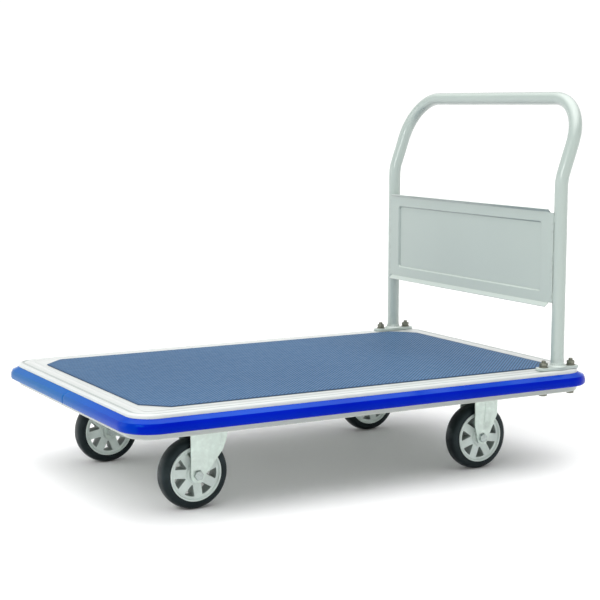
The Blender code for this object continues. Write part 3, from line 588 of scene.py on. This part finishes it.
def mat():
    """The vinyl sheet with its raised diamonds, cut corners and pressed edge."""
    low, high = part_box("deck_mat")
    ys = spread(low.y, high.y, DIAMOND)
    bm = bmesh.new()
    rows = []
    for i, x in enumerate(spread(low.x, high.x, DIAMOND)):
        row = []
        for j, y in enumerate(ys):
            cut = (abs(x) - high.x + abs(y) - high.y + MAT_CHAMFER) / math.sqrt(2)
            inside = min(x - low.x, high.x - x, y - low.y, high.y - y, -cut)
            raised = high.z if (i + j) % 2 == 0 else high.z - DIAMOND_RELIEF
            edge = high.z - 0.6 * DIAMOND_RELIEF
            share = smooth_step((inside - DIAMOND) / DIAMOND)
            row.append(bm.verts.new((x, y, edge + (raised - edge) * share)))
        rows.append(row)
    for a, b in zip(rows, rows[1:]):
        for j in range(len(ys) - 1):
            bm.faces.new((a[j], b[j], b[j + 1], a[j + 1]))
    for sign_x, sign_y in CORNERS:
        corner = (sign_x * (high.x - MAT_CHAMFER / 2), sign_y * (high.y - MAT_CHAMFER / 2), 0)
        geometry = bm.verts[:] + bm.edges[:] + bm.faces[:]
        outward = (sign_x, sign_y, 0)
        bmesh.ops.bisect_plane(bm, geom=geometry, plane_co=corner, plane_no=outward, clear_outer=True)
    rim = [edge for edge in bm.edges if edge.is_boundary]
    skirt = bmesh.ops.extrude_edge_only(bm, edges=rim)["geom"]
    for part in skirt:
        if isinstance(part, bmesh.types.BMVert):
            part.co.z = low.z
    rim = [e for e in skirt if isinstance(e, bmesh.types.BMEdge) and e.is_boundary]
    bmesh.ops.contextual_create(bm, geom=rim)
    piece("mat_sheet", bm, MAT_VINYL, ["deck_mat"], sharp=180.0)


def bumper():
    """The extruded strip: a bevel down to its crease, a rounded nose and a flat foot."""
    low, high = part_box("edge_bumper")
    deck_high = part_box("deck_plate")[1]
    half_x, half_y = deck_high.x + BUMPER_GAP, deck_high.y + BUMPER_GAP
    top, bottom = high.z, low.z
    crease = top - CREASE_DROP
    nose_z = bottom + NOSE_HEIGHT
    foot = BUMPER_FOOT_RADIUS
    section = [(0.0, bottom), (0.006, bottom)]
    section += [(0.0125 + x, z) for x, z in arc((0, bottom + foot), foot, -math.pi / 2, -0.05, 6)]
    for share in (0.15, 0.32, 0.5, 0.68, 0.84, 0.94):
        out = BUMPER_DEPTH - (BUMPER_DEPTH - CREASE_OUT) * share ** 2.4
        section.append((out, nose_z - 0.003 + (crease - 0.0003 - nose_z + 0.003) * share))
    section.append((CREASE_OUT + 0.0002, crease))
    for share in (0.05, 0.12, 0.3, 0.5, 0.7, 0.86, 0.94):
        section.append((CREASE_OUT * (1 - share) + 0.0006, crease + (top - crease) * share))
    section += [(0.0012, top - 0.0001), (0.0, top)]
    rings = []
    for out, height in section:
        loop = rounded_rectangle(half_x + out, half_y + out, DECK_CORNER + BUMPER_GAP + out, 16)
        edge = -(half_x + out)
        pull = SEAM_ROUNDING if out > 0.001 else 0.0
        ends = []
        for sign in (-1, 1):
            end = [
                (edge + pull * (1 - t) ** 2, SEAM_Y + sign * (SEAM_GAP / 2 + 0.0016 * t))
                for t in (0, 0.33, 0.66, 1)
            ]
            ends.append(end + [(edge, SEAM_Y + sign * 0.006)])
        path = ends[0] + spaced(loop) + list(reversed(ends[1]))
        rings.append([(x, y, height) for x, y in path])
    bm = bmesh.new()
    rows = loft(bm, rings, closed=False, join_ends=True)
    # The bevel's faces above the crease take the lighter, painted-highlight vinyl
    for face in bm.faces:
        if all(vert.co.z > crease - 0.00001 for vert in face.verts):
            face.material_index = 1
    bm.faces.new([row[0] for row in rows])
    bm.faces.new([row[-1] for row in reversed(rows)])
    strip = piece("bumper_strip", bm, BUMPER_VINYL, ["edge_bumper"], sharp=24.0)
    strip.data.materials.append(BEVEL_SHEEN_VINYL)


def spaced(loop):
    """Adds points along the long straight runs of an outline."""
    points = []
    for a, b in zip(loop, loop[1:]):
        points.append(a)
        run = math.dist(a, b)
        if run > 0.1:
            points += [(a[0] + (b[0] - a[0]) * i / 8, a[1] + (b[1] - a[1]) * i / 8) for i in range(1, 8)]
    return points + [loop[-1]]


# --- Handle ---


def handle_path():
    """Centre line of the tube, from the near foot over the bar to the far foot."""
    low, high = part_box("handle_tube")
    x = low.x + TUBE_RADIUS
    y = high.y - TUBE_RADIUS
    side = [(0.0, low.z), (0.0, low.z + 0.1), (0.0, 0.45)]
    cut = TILT_BEND * math.tan(TILT / 2)
    side += arc((TILT_BEND, BEND_HEIGHT - cut), TILT_BEND, math.pi, math.pi - TILT, 12)
    points = [Vector((x + dx, -y, z)) for dx, z in side]
    up = Vector((math.sin(TILT), 0.0, math.cos(TILT)))
    top = Vector((x, 0.0, BEND_HEIGHT)) + TILT_LENGTH * up
    for dy, rise in arc((-y + HANDLE_CORNER, -HANDLE_CORNER), HANDLE_CORNER, math.pi, math.pi / 2, 20):
        points.append(Vector((top.x, dy, top.z)) + rise * up)
    points.append(Vector((top.x, -0.1, top.z)))
    return points + [Vector((p.x, -p.y, p.z)) for p in reversed(points)]


def handle_frame():
    """The bent tube, from foot to foot."""
    bm = bmesh.new()
    sweep(bm, handle_path(), TUBE_RADIUS, 40)
    piece("handle_frame", bm, HANDLE_PAINT, ["handle_tube"])


def panel():
    """The pressed sheet: recessed middle with soft corners, and edges rolled towards the deck."""
    low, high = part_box("handle_panel")
    half_y = high.y
    base_low, base_high = low.z + PANEL_FLARE, high.z - PANEL_FLARE
    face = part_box("handle_tube")[0].x - 0.0003
    in_y = half_y - RECESS_MARGIN[0]
    in_low, in_high = low.z + RECESS_MARGIN[1], high.z - RECESS_MARGIN[1]
    half_ys = [
        half_y, *spread(0.0, in_y - 0.016, 0.02), *spread(in_y - 0.016, in_y + 0.001, PANEL_FINE),
        *spread(in_y + 0.001, PANEL_FLARE_HALF, 0.008),
    ]
    ys = sorted({round(sign * y, 5) for sign in (-1, 1) for y in half_ys})
    zs = sorted({round(z, 5) for z in [
        *spread(base_low, in_low - 0.001, 0.006), *spread(in_low - 0.001, in_low + 0.016, PANEL_FINE),
        *spread(in_low + 0.016, in_high - 0.016, 0.02), *spread(in_high - 0.016, in_high + 0.001, PANEL_FINE),
        *spread(in_high + 0.001, base_high, 0.006),
    ]})

    def pressed(y, z):
        """How far back the sheet lies, from its distance to the recess's rounded outline."""
        dy = abs(y) - (in_y - RECESS_CORNER)
        dz = abs(z - (in_low + in_high) / 2) - ((in_high - in_low) / 2 - RECESS_CORNER)
        outside = math.hypot(max(dy, 0.0), max(dz, 0.0)) + min(max(dy, dz), 0.0)
        return RECESS_DEPTH * smooth_step((RECESS_CORNER - outside) / RECESS_SLOPE)

    def rolled(turn, reach):
        """The lip's section: a short bend through the turn, then straight for the reach."""
        lip = []
        for t in (0.25, 0.5, 0.75, 1.0):
            lip.append((-LIP_BEND * (1 - math.cos(turn * t)), LIP_BEND * math.sin(turn * t)))
        x, z = lip[-1]
        for t in (0.34, 0.67, 1.0):
            lip.append((x - math.sin(turn) * reach * t, z + math.cos(turn) * reach * t))
        return lip

    lower, upper = rolled(*LOWER_LIP), rolled(*UPPER_LIP)
    rows = [[(face + dx, y, base_low - dz) for y in ys] for dx, dz in reversed(lower)]
    rows += [[(face + pressed(y, z), y, z) for y in ys] for z in zs]
    rows += [[(face + dx, y, base_high + dz) for y in ys] for dx, dz in upper]
    bm = bmesh.new()
    verts = [[bm.verts.new(point) for point in row] for row in rows]
    first, end = len(lower), len(lower) + len(zs) - 1
    for r, (a, b) in enumerate(zip(verts, verts[1:])):
        in_lip = r < first or r >= end
        for k in range(len(ys) - 1):
            if in_lip and abs(ys[k] + ys[k + 1]) / 2 > PANEL_FLARE_HALF:
                continue
            bm.faces.new((a[k], a[k + 1], b[k + 1], b[k]))
    bmesh.ops.delete(bm, geom=[v for v in bm.verts if not v.link_faces], context="VERTS")
    thicken(bm, PANEL_SHEET, Vector((-1, 0, 0)))
    piece("back_panel", bm, HANDLE_PAINT, ["handle_panel"])


def thicken(bm, thickness, towards):
    """Gives an open sheet its thickness, on the side that a direction points to."""
    bmesh.ops.recalc_face_normals(bm, faces=bm.faces)
    total = sum((f.normal * f.calc_area() for f in bm.faces), Vector())
    side = 1.0 if total.dot(towards) > 0 else -1.0
    bm.normal_update()
    bmesh.ops.solidify(bm, geom=bm.faces[:], thickness=-thickness * side)


def flange_points():
    """A foot plate's outline: round ends, and a round middle that their edges run off."""
    lean = math.acos((FLANGE_WAIST - FLANGE_END) / FLANGE_END_X)
    points = arc((FLANGE_END_X, 0), FLANGE_END, -lean, lean, 16)
    points += arc((0, 0), FLANGE_WAIST, lean, math.pi - lean, 10)
    points += arc((-FLANGE_END_X, 0), FLANGE_END, math.pi - lean, math.pi + lean, 16)
    return points + arc((0, 0), FLANGE_WAIST, math.pi + lean, TAU - lean, 10)


def slab(bm, outline, low, high, rounding):
    """A flat outline with a thickness and rounded upper and lower edges."""
    def shrunk(distance):
        count = len(outline)
        ring = []
        for i, point in enumerate(outline):
            along = Vector(outline[(i + 1) % count]) - Vector(outline[i - 1])
            inward = Vector((-along.y, along.x)).normalized()
            ring.append(Vector(point) + inward * distance)
        return ring

    steps = [
        (rounding * (1 - math.cos(a)), rounding * (1 - math.sin(a))) for a in (math.pi / 2, math.pi / 4, 0.0)
    ]
    rings = [[(*p, low + down) for p in shrunk(inset)] for inset, down in steps]
    rings += [[(*p, high - down) for p in shrunk(inset)] for inset, down in reversed(steps)]
    loft(bm, rings, caps=True)


def lumps(angle, radius, height):
    """The uneven outside of a weld collar, whose inside stays round."""
    if radius < TUBE_RADIUS:
        return 0.0
    return 0.00035 * math.sin(23 * angle + 40 * height) + 0.0002 * math.sin(41 * angle)


def foot_plates():
    """The plates that the legs stand on, and the lumpy weld collars round the legs."""
    for side in SIDES:
        node = f"handle_flange_{side}"
        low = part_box(node)[0]
        bm = bmesh.new()
        slab(bm, flange_points(), low.z, low.z + FLANGE_SHEET, 0.0014)
        place = upright(box_middle(node))
        piece(f"foot_plate_{side}", bm, HANDLE_PAINT, [node], place)
        top = low.z + FLANGE_SHEET
        r = TUBE_RADIUS
        profile = [(r - 0.001, top - 0.001), (r + 0.006, top - 0.001), (r + 0.0058, top + 0.0006)]
        for a in (0.3, 0.6, 0.9, 1.2, 1.5):
            profile.append((r + 0.007 - 0.0066 * math.sin(a), top + 0.0085 - 0.0075 * math.cos(a)))
        profile.append((r - 0.001, top + 0.0095))
        bm = bmesh.new()
        lathe(bm, profile, 96, wobble=lumps)
        piece(f"foot_weld_{side}", bm, HANDLE_PAINT, (), place, sharp=70.0)


def hexagon(bm, radius, low, high, bore=0.0):
    """A hexagonal head or nut whose corners are turned down to a cone, with a bore if it has one."""
    angles = [TAU * i / 72 for i in range(72)]
    flat = radius * math.cos(math.pi / 6)
    height = high - low
    sides = [flat / math.cos(a % (math.pi / 3) - math.pi / 6) for a in angles]
    cone = [(0.0, flat * 0.97), (0.1, radius * 0.985), (0.16, radius * 1.01)]
    rings = []
    for share, limit in cone + [(1 - share, limit) for share, limit in reversed(cone)]:
        rings.append([polar(min(side, limit), a, low + share * height) for a, side in zip(angles, sides)])
    if bore <= 0.0:
        loft(bm, rings, caps=True)
        return
    for share, reach in ((1.0, bore * 1.12), (0.92, bore), (0.08, bore), (0.0, bore * 1.12)):
        rings.append([polar(reach, a, low + share * height) for a in angles])
    loft(bm, rings, join_ends=True)


def threaded(bm, radius, low, high, pitch):
    """A screwed shaft whose ridge climbs round it, with a bevelled end at the top."""
    sides = 24
    rings = []
    count = max(4, int((high - low) / pitch * 6))
    for i in range(count + 1):
        z = low + (high - low) * i / count
        end = max(0.0, z - high + 0.0008)
        ring = []
        for turn in [k / sides for k in range(sides)]:
            ridge = abs((z / pitch - turn) % 1.0 - 0.5) * 2
            ring.append(polar(radius - 0.09 * radius * (1 - ridge) - end, TAU * turn, z))
        rings.append(ring)
    loft(bm, rings, caps=True)


def washer(bm, outer, inner, low, high):
    """A flat ring with its outer corners rounded off."""
    round_off = min(0.0004, (high - low) / 3)
    profile = [
        (inner, high), (outer - round_off, high), (outer, high - round_off),
        (outer, low + round_off), (outer - round_off, low), (inner, low),
    ]
    lathe(bm, profile, 48)


def spring_washer(bm, outer, inner, low, high):
    """A split ring whose ends stand a little apart."""
    sides = 44
    rings = []
    for i in range(sides + 1):
        share = i / sides
        angle = math.radians(8) + (TAU - math.radians(16)) * share
        lift = (share - 0.5) * 0.0006
        corners = ((inner, low), (outer, low), (outer, high), (inner, high))
        rings.append([polar(r, angle, z + lift) for r, z in corners])
    loft(bm, rings, caps=True)


def handle_fasteners():
    """Bolts up through the deck and foot plates, each with washers and a nut on top."""
    head, flat, shaft, pitch = HANDLE_BOLT
    head_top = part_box("deck_plate")[0].z - 0.0003
    for side in SIDES:
        for end in ("front", "rear"):
            bolt, nut = f"handle_bolt_{side}_{end}", f"handle_nut_{side}_{end}"
            low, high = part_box(bolt)
            nut_low, nut_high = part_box(nut)
            place = upright(box_middle(bolt)) @ Matrix.Rotation(0.4 * len(bolt), 4, "Z")
            bm = bmesh.new()
            hexagon(bm, head, low.z, head_top - 0.0016)
            washer(bm, flat, 0.004, head_top - 0.0015, head_top)
            threaded(bm, shaft, head_top - 0.003, high.z, pitch)
            piece(f"{bolt}_screw", bm, BOLT_ZINC, [bolt], place)
            bm = bmesh.new()
            washer(bm, flat, 0.0053, nut_low.z, nut_low.z + 0.0013)
            spring_washer(bm, 0.0088, 0.0054, nut_low.z + 0.0014, nut_low.z + 0.0029)
            hexagon(bm, 0.0096, nut_low.z + 0.0033, nut_high.z + 0.0006, bore=0.0051)
            piece(f"{nut}_set", bm, BOLT_ZINC, [nut], place)


def panel_welds():
    """Short beads that hold the panel to the front of each leg."""
    low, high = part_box("handle_panel")
    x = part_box("handle_tube")[0].x + 0.001
    for side, sign in SIDES.items():
        y = sign * (high.y - 0.0002)
        for index, z in enumerate((low.z + 0.022, (low.z + high.z) / 2, high.z - 0.022)):
            path = [(x, y, z - 0.011), (x, y, z), (x, y, z + 0.011)]
            weld(f"panel_weld_{side}_{index}", path, PANEL_WELD, HANDLE_PAINT)


# --- Castors ---


def fork_rows(left, right, end_radius, top):
    """Rows of a leg from its round end up: (height above the axle, left edge, right edge)."""
    rows = []
    for i in range(1, 12):
        z = -end_radius * math.cos(math.pi / 2 * i / 11)
        reach = math.sqrt(max(end_radius ** 2 - z ** 2, 0.0))
        rows.append((z, -reach, reach))
    left_points = [(0.0, -end_radius), *[(z, x) for x, z in left], (top, left[-1][0])]
    right_points = [(0.0, end_radius), *[(z, x) for x, z in right], (top, right[-1][0])]

    def edge(points, z):
        for (z0, x0), (z1, x1) in zip(points, points[1:]):
            if z <= z1:
                return x0 + (x1 - x0) * (z - z0) / max(z1 - z0, 1e-9)
        return points[-1][1]

    for z in spread(0.0, top, 0.0035)[1:]:
        rows.append((z, edge(left_points, z), edge(right_points, z)))
    return rows


def fork(name, axle, leg, crown, fold, press, body, nodes=()):
    """A strip bent to a U over the wheel. press(x, z) pushes a leg's sheet towards the wheel."""
    top = crown - axle.z - fold
    surface = []
    for z, x0, x1 in fork_rows(*leg, top):
        xs = [x0 + (x1 - x0) * k / 24 for k in range(25)]
        surface.append([(x, -FORK_HALF + press(x, z), z) for x in xs])
    for i in range(1, 7):
        angle = math.pi / 2 * i / 6
        inward, z = fold * (1 - math.cos(angle)), top + fold * math.sin(angle)
        surface.append([(x, -FORK_HALF + inward + press(x, top) * math.cos(angle), z) for x in xs])
    mirrored = [[(x, -y, z) for x, y, z in row] for row in reversed(surface)]
    bm = bmesh.new()
    loft(bm, surface + mirrored, closed=False)
    thicken(bm, FORK_SHEET, Vector((0, 0, 1)))
    piece(name, bm, CASTOR_ZINC, nodes, Matrix.Translation(axle), body, sharp=40.0)


def rigid_press(x, z):
    """A shallow rib that widens upwards from the axle."""
    middle = 0.01 + 0.1 * (z - 0.02)
    return 0.0034 * smooth_step((0.011 - abs(x - middle)) / 0.0045) * smooth_step((z - 0.018) / 0.02)


def swivel_press(x, z):
    """The leg's rear part is folded in along an upright crease."""
    return 0.16 * max(0.0, x - 0.0255) + 0.0012 * smooth_step((x - 0.0225) / 0.006) * smooth_step(z / 0.03)


def top_plate(name, node, place):
    """The castor's mounting plate with four washered bolts under it."""
    low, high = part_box(node)
    base = high.z - PLATE_SHEET
    bm = bmesh.new()
    slab(bm, rounded_rectangle((high.x - low.x) / 2, PLATE_HALF_Y, 0.01, 8), base, high.z, 0.0008)
    piece(name, bm, CASTOR_ZINC, [node], upright(place))
    for index, (sign_x, sign_y) in enumerate(CORNERS):
        bm = bmesh.new()
        washer(bm, 0.0102, 0.005, base - 0.0017, base - 0.0002)
        hexagon(bm, 0.009, base - 0.0085, base - 0.0018)
        spot = upright((place[0] + sign_x * PLATE_BOLT[0], place[1] + sign_y * PLATE_BOLT[1]))
        spot = spot @ Matrix.Rotation(0.7 * index, 4, "Z")
        piece(f"{name}_bolt_{index}", bm, PLATED_HEAD, (), spot)


def axle_set(label, body):
    """The axle bolt with its washer on one side, and the lock nut with its nylon ring on the other."""
    bolt, nut = f"axle_bolt_{label}", f"axle_nut_{label}"
    head, flat, shaft, pitch = AXLE_BOLT
    low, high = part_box(bolt)
    axle = box_middle(bolt)
    axle.y = box_middle(f"tyre_{label}").y
    face = FORK_HALF + 0.0003
    turned = Matrix.Rotation(-math.pi / 2, 4, "X") @ Matrix.Rotation(0.3 * len(label), 4, "Z")
    place = Matrix.Translation(axle) @ turned
    bm = bmesh.new()
    washer(bm, flat, 0.0055, -face - 0.0016, -face)
    hexagon(bm, head, low.y - axle.y, -face - 0.0017)
    threaded(bm, shaft, -face - 0.002, high.y - axle.y, pitch)
    piece(f"axle_screw_{label}", bm, PLATED_HEAD, [bolt], place, body)
    bm = bmesh.new()
    washer(bm, flat, 0.0063, face, face + 0.0016)
    hexagon(bm, head, face + 0.0018, face + 0.009, bore=0.0062)
    ring = [(0.0062, face + 0.0089), (0.0085, face + 0.0089), (0.0083, face + 0.0108), (0.0062, face + 0.011)]
    lathe(bm, ring, 48)
    piece(f"axle_locknut_{label}", bm, PLATED_HEAD, [nut], place, body)


def ball_ring(side):
    """The dust ring and the row of balls under the swivel plate."""
    node = f"ball_race_{side}"
    low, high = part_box(node)
    outer = (high.x - low.x) / 2
    bm = bmesh.new()
    profile = [
        (0.017, low.z), (outer - 0.004, low.z), (outer - 0.0024, low.z + 0.0012),
        (outer - 0.0028, low.z + 0.0031), (outer - 0.0024, high.z - 0.0012),
        (outer - 0.004, high.z), (0.017, high.z),
    ]
    lathe(bm, profile, 64)
    for i in range(BALLS):
        spot = Matrix.Translation(polar(outer - BALL_RADIUS, TAU * i / BALLS, (low.z + high.z) / 2))
        bmesh.ops.create_uvsphere(bm, u_segments=12, v_segments=8, radius=BALL_RADIUS, matrix=spot)
    piece(f"ball_ring_{side}", bm, PLATED_HEAD, [node], upright(box_middle(node)), f"swivel_{side}")


def race_cup(side):
    """The cup pressed down from the mounting plate, and the riveted pin through it."""
    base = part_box(f"swivel_plate_{side}")[1].z - PLATE_SHEET
    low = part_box(f"ball_race_{side}")[1].z + 0.0004
    inner, outer = 0.0085, 0.0285
    bm = bmesh.new()
    profile = [
        (inner, low), (outer - 0.0015, low), (outer, low + 0.0012), (outer + 0.0006, low + 0.004),
        (outer + 0.003, base - 0.0003), (outer + 0.006, base + 0.0006), (inner, base + 0.0006),
    ]
    lathe(bm, profile, 72)
    place = upright(box_middle(f"kingpin_{side}"))
    piece(f"race_cup_{side}", bm, CASTOR_ZINC, (), place)
    pin_low, pin_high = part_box(f"kingpin_{side}")
    bm = bmesh.new()
    washer(bm, 0.015, 0.006, pin_low.z + 0.0031, pin_low.z + 0.0058)
    threaded(bm, 0.0078, pin_low.z, pin_high.z, 0.0015)
    hexagon(bm, 0.0125, pin_low.z, pin_low.z + 0.003)
    piece(f"king_bolt_{side}", bm, BOLT_ZINC, [f"kingpin_{side}"], place)


def tyre(label, body):
    """Solid rubber: a crowned tread, rounded shoulders and a fine step beside the rim."""
    node = f"tyre_{label}"
    low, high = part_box(node)
    radius = (high.z - low.z) / 2
    half = [(radius - drop, y) for drop, y in TYRE_SHOULDER]
    half += [(RIM_RADIUS + 0.0022, 0.0191), (RIM_RADIUS + 0.0009, 0.019), (RIM_RADIUS + 0.0003, 0.0183)]
    bm = bmesh.new()
    lathe(bm, half[::-1] + [(r, -y) for r, y in half[1:]], 128)
    piece(f"wheel_tyre_{label}", bm, TYRE_RUBBER, [node], across_y(box_middle(node)), body, sharp=60.0)


def window_outline(scale):
    """One triangular window, its point to the hub, with rounded corners; scale narrows it."""
    base, tip, half = 0.0473, 0.025, math.radians(14.0)
    centre = Vector((0.039, 0.0))

    def at_base(angle):
        return Vector((base * math.cos(angle), base * math.sin(angle)))

    corners = [Vector((tip, -0.0012)), at_base(-half), at_base(half), Vector((tip, 0.0012))]
    corners = [centre + (c - centre) * scale for c in corners]
    points = []
    for i, corner in enumerate(corners):
        before, after = corners[i - 1] - corner, corners[(i + 1) % 4] - corner
        reach = min(0.0018, before.length * 0.45, after.length * 0.45)
        a, b = corner + before.normalized() * reach, corner + after.normalized() * reach
        for k in range(5):
            t = k / 4
            points.append(a * (1 - t) ** 2 + corner * 2 * t * (1 - t) + b * t * t)
        if i == 1:
            bow = [half * (-0.6 + 1.2 * k / 4) for k in range(5)]
            points += [centre + (at_base(angle) - centre) * scale for angle in bow]
    return points


def wheel_body(label, body):
    """The moulded centre: raised rim lip, recessed web, tapered windows and a stepped hub."""
    node = f"wheel_centre_{label}"
    lip = RIM_RADIUS - 0.0034
    side = [
        (RIM_RADIUS - 0.0002, RIM_HALF - 0.0006), (RIM_RADIUS - 0.0008, RIM_HALF), (lip + 0.0006, RIM_HALF),
        (lip, RIM_HALF - 0.0005), (lip - 0.0006, RIM_HALF - 0.0018), (lip - 0.0014, WEB_HALF + 0.0008),
        (lip - 0.003, WEB_HALF), (HUB_RADIUS + 0.003, WEB_HALF), (HUB_RADIUS + 0.0014, WEB_HALF + 0.0008),
        (HUB_RADIUS + 0.0006, HUB_HALF - 0.0012), (HUB_RADIUS - 0.0004, HUB_HALF), (0.0125, HUB_HALF),
        (0.012, HUB_HALF - 0.0012), (0.01, HUB_HALF - 0.0012),
    ]
    bm = bmesh.new()
    lathe(bm, side + [(r, -y) for r, y in reversed(side)], 140)
    place = across_y(box_middle(node), math.radians(PHASES[label]))
    obj = piece(f"wheel_body_{label}", bm, WHEEL_NYLON, [node], place, body, sharp=35.0)
    cut = bmesh.new()
    for i in range(WINDOWS):
        spin = Matrix.Rotation(TAU * i / WINDOWS, 4, "Z")
        rings = []
        for y, scale in ((-0.021, 1.14), (0.0, 0.84), (0.021, 1.14)):
            rings.append([spin @ Vector((p.x, p.y, y)) for p in window_outline(scale)])
        loft(cut, rings, caps=True)
    bmesh.ops.recalc_face_normals(cut, faces=cut.faces)
    cut.transform(place)
    tool_mesh = bpy.data.meshes.new("window_tool")
    cut.to_mesh(tool_mesh)
    cut.free()
    # The window walls that the cut leaves take the dark, painted-shade nylon
    tool_mesh.materials.append(WINDOW_SHADE_NYLON)
    tool = add_object("window_tool", tool_mesh)
    boolean = obj.modifiers.new("windows", "BOOLEAN")
    boolean.object = tool
    boolean.operation = "DIFFERENCE"
    boolean.solver = "EXACT"
    boolean.material_mode = "TRANSFER"
    bpy.context.view_layer.update()
    graph = bpy.context.evaluated_depsgraph_get()
    mesh = bpy.data.meshes.new_from_object(obj.evaluated_get(graph))
    obj.modifiers.clear()
    obj.data = mesh
    bpy.data.objects.remove(tool, do_unlink=True)
    mesh.shade_smooth()
    mesh.set_sharp_from_angle(angle=math.radians(35))


def bearing(label, body):
    """The steel sleeve that the wheel turns on, its ends chamfered."""
    node = f"wheel_sleeve_{label}"
    low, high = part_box(node)
    out = (high.y - low.y) / 2
    profile = [
        (0.0064, out), (0.009, out), (0.0096, out - 0.0006),
        (0.0096, -out + 0.0006), (0.009, -out), (0.0064, -out),
    ]
    bm = bmesh.new()
    lathe(bm, profile, 48)
    piece(f"bearing_sleeve_{label}", bm, PLATED_HEAD, [node], across_y(box_middle(node)), body)


def castors():
    for side in SIDES:
        for end in ("front", "rear"):
            label = f"{end}_{side}"
            wheel = f"wheel_{label}"
            tyre(label, wheel)
            wheel_body(label, wheel)
            bearing(label, wheel)
            axle_set(label, f"swivel_{side}" if end == "front" else "platform")
        axle = box_middle(f"tyre_front_{side}")
        yoke, carrier = f"swivel_fork_{side}", f"swivel_{side}"
        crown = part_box(yoke)[1].z
        fork(f"swivel_yoke_{side}", axle, SWIVEL_LEG, crown, FORK_BEND, swivel_press, carrier, [yoke])
        top_plate(f"swivel_top_{side}", f"swivel_plate_{side}", box_middle(f"kingpin_{side}").xy)
        ball_ring(side)
        race_cup(side)
        axle = box_middle(f"tyre_rear_{side}")
        bracket = f"rigid_bracket_{side}"
        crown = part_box(bracket)[1].z - PLATE_SHEET + 0.0005
        fork(f"rigid_yoke_{side}", axle, RIGID_LEG, crown, RIGID_FORK_BEND, rigid_press, "platform")
        top_plate(f"rigid_top_{side}", bracket, box_middle(bracket).xy)


# --- Under the deck ---


def beams():
    """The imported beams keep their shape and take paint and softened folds; welds hold them together."""
    names = ["side_beam_near", "side_beam_far", "front_cross_beam", "middle_cross_beam", "handle_cross_beam"]
    for name in names:
        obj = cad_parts[name]
        obj.data.materials.clear()
        obj.data.materials.append(DECK_PAINT[0])
        soften = obj.modifiers.new("soft folds", "BEVEL")
        soften.width = 0.0006
        soften.segments = 2
        soften.limit_method = "ANGLE"
    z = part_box("side_beam_near")[0].z + 0.001
    for side in SIDES:
        low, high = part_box(f"side_beam_{side}")
        for end, x in (("front", low.x), ("rear", high.x)):
            for index, y in enumerate((low.y + 0.015, high.y - 0.045)):
                path = [(x, y, z), (x, y + 0.015, z), (x, y + 0.03, z)]
                weld(f"beam_weld_{side}_{end}_{index}", path, BEAM_WELD, DECK_PAINT)


# --- Stage ---


def studio():
    """A pale floor, a sky that is brighter overhead and near the floor, and soft lights."""
    mesh = bpy.data.meshes.new("studio_floor")
    bm = bmesh.new()
    bmesh.ops.create_grid(bm, x_segments=1, y_segments=1, size=30.0)
    bm.to_mesh(mesh)
    bm.free()
    mesh.materials.append(pale_floor("studio_floor"))
    add_object("studio_floor", mesh)

    world = bpy.data.worlds.new("studio")
    bpy.context.scene.world = world
    world.use_nodes = True
    tree = world.node_tree
    background = tree.nodes["Background"]
    sky = tree.nodes.new("ShaderNodeTexCoord")
    split = tree.nodes.new("ShaderNodeSeparateXYZ")
    tree.links.new(sky.outputs["Generated"], split.inputs["Vector"])
    total = tree.nodes.new("ShaderNodeMath")
    total.operation = "ADD"
    for index, zone in enumerate(SKY_ZONES):
        fade = tree.nodes.new("ShaderNodeMapRange")
        fade.interpolation_type = "SMOOTHSTEP"
        for name, value in zip(("From Min", "From Max", "To Min", "To Max"), zone):
            fade.inputs[name].default_value = value
        tree.links.new(split.outputs["Z"], fade.inputs["Value"])
        tree.links.new(fade.outputs["Result"], total.inputs[index])
    tree.links.new(total.outputs["Value"], background.inputs["Strength"])
    background.inputs["Color"].default_value = (1.0, 1.0, 0.995, 1.0)
    bpy.context.scene.view_settings.view_transform = "Standard"

    sun = bpy.data.lights.new("soft_sun", "SUN")
    sun.energy = SUN_STRENGTH
    sun.angle = math.radians(SUN_ANGLE)
    aim_light(add_object("soft_sun", sun), Vector(SUN_AIM))
    for name, (place, size, power) in SOFTBOXES.items():
        light = bpy.data.lights.new(name, "AREA")
        light.shape = "RECTANGLE"
        light.size, light.size_y = size
        light.energy = power
        box = add_object(name, light)
        box.location = place
        aim_light(box, Vector(LIGHT_TARGET) - Vector(place))


def aim_light(light, direction):
    light.rotation_euler = direction.to_track_quat("-Z", "Y").to_euler()


def camera():
    """Stands off the near front corner, a little below the handle's top, looking slightly down."""
    yaw, pitch, roll = (math.radians(angle) for angle in CAMERA_TURN)
    data = bpy.data.cameras.new("camera")
    data.lens = CAMERA_LENS
    data.shift_x, data.shift_y = CAMERA_SHIFT
    data.clip_end = 200.0
    obj = add_object("camera", data)
    right = Vector((math.cos(yaw), -math.sin(yaw), 0.0))
    forward = Vector((math.sin(yaw) * math.cos(pitch), math.cos(yaw) * math.cos(pitch), -math.sin(pitch)))
    up = right.cross(forward)
    turned_right = right * math.cos(roll) + up * math.sin(roll)
    turned_up = up * math.cos(roll) - right * math.sin(roll)
    axes = Matrix((turned_right, turned_up, -forward)).transposed().to_4x4()
    obj.matrix_world = Matrix.Translation(CAMERA_PLACE) @ axes
    bpy.context.scene.camera = obj


deck()
mat()
bumper()
handle_frame()
panel()
panel_welds()
foot_plates()
handle_fasteners()
castors()
beams()
studio()
camera()
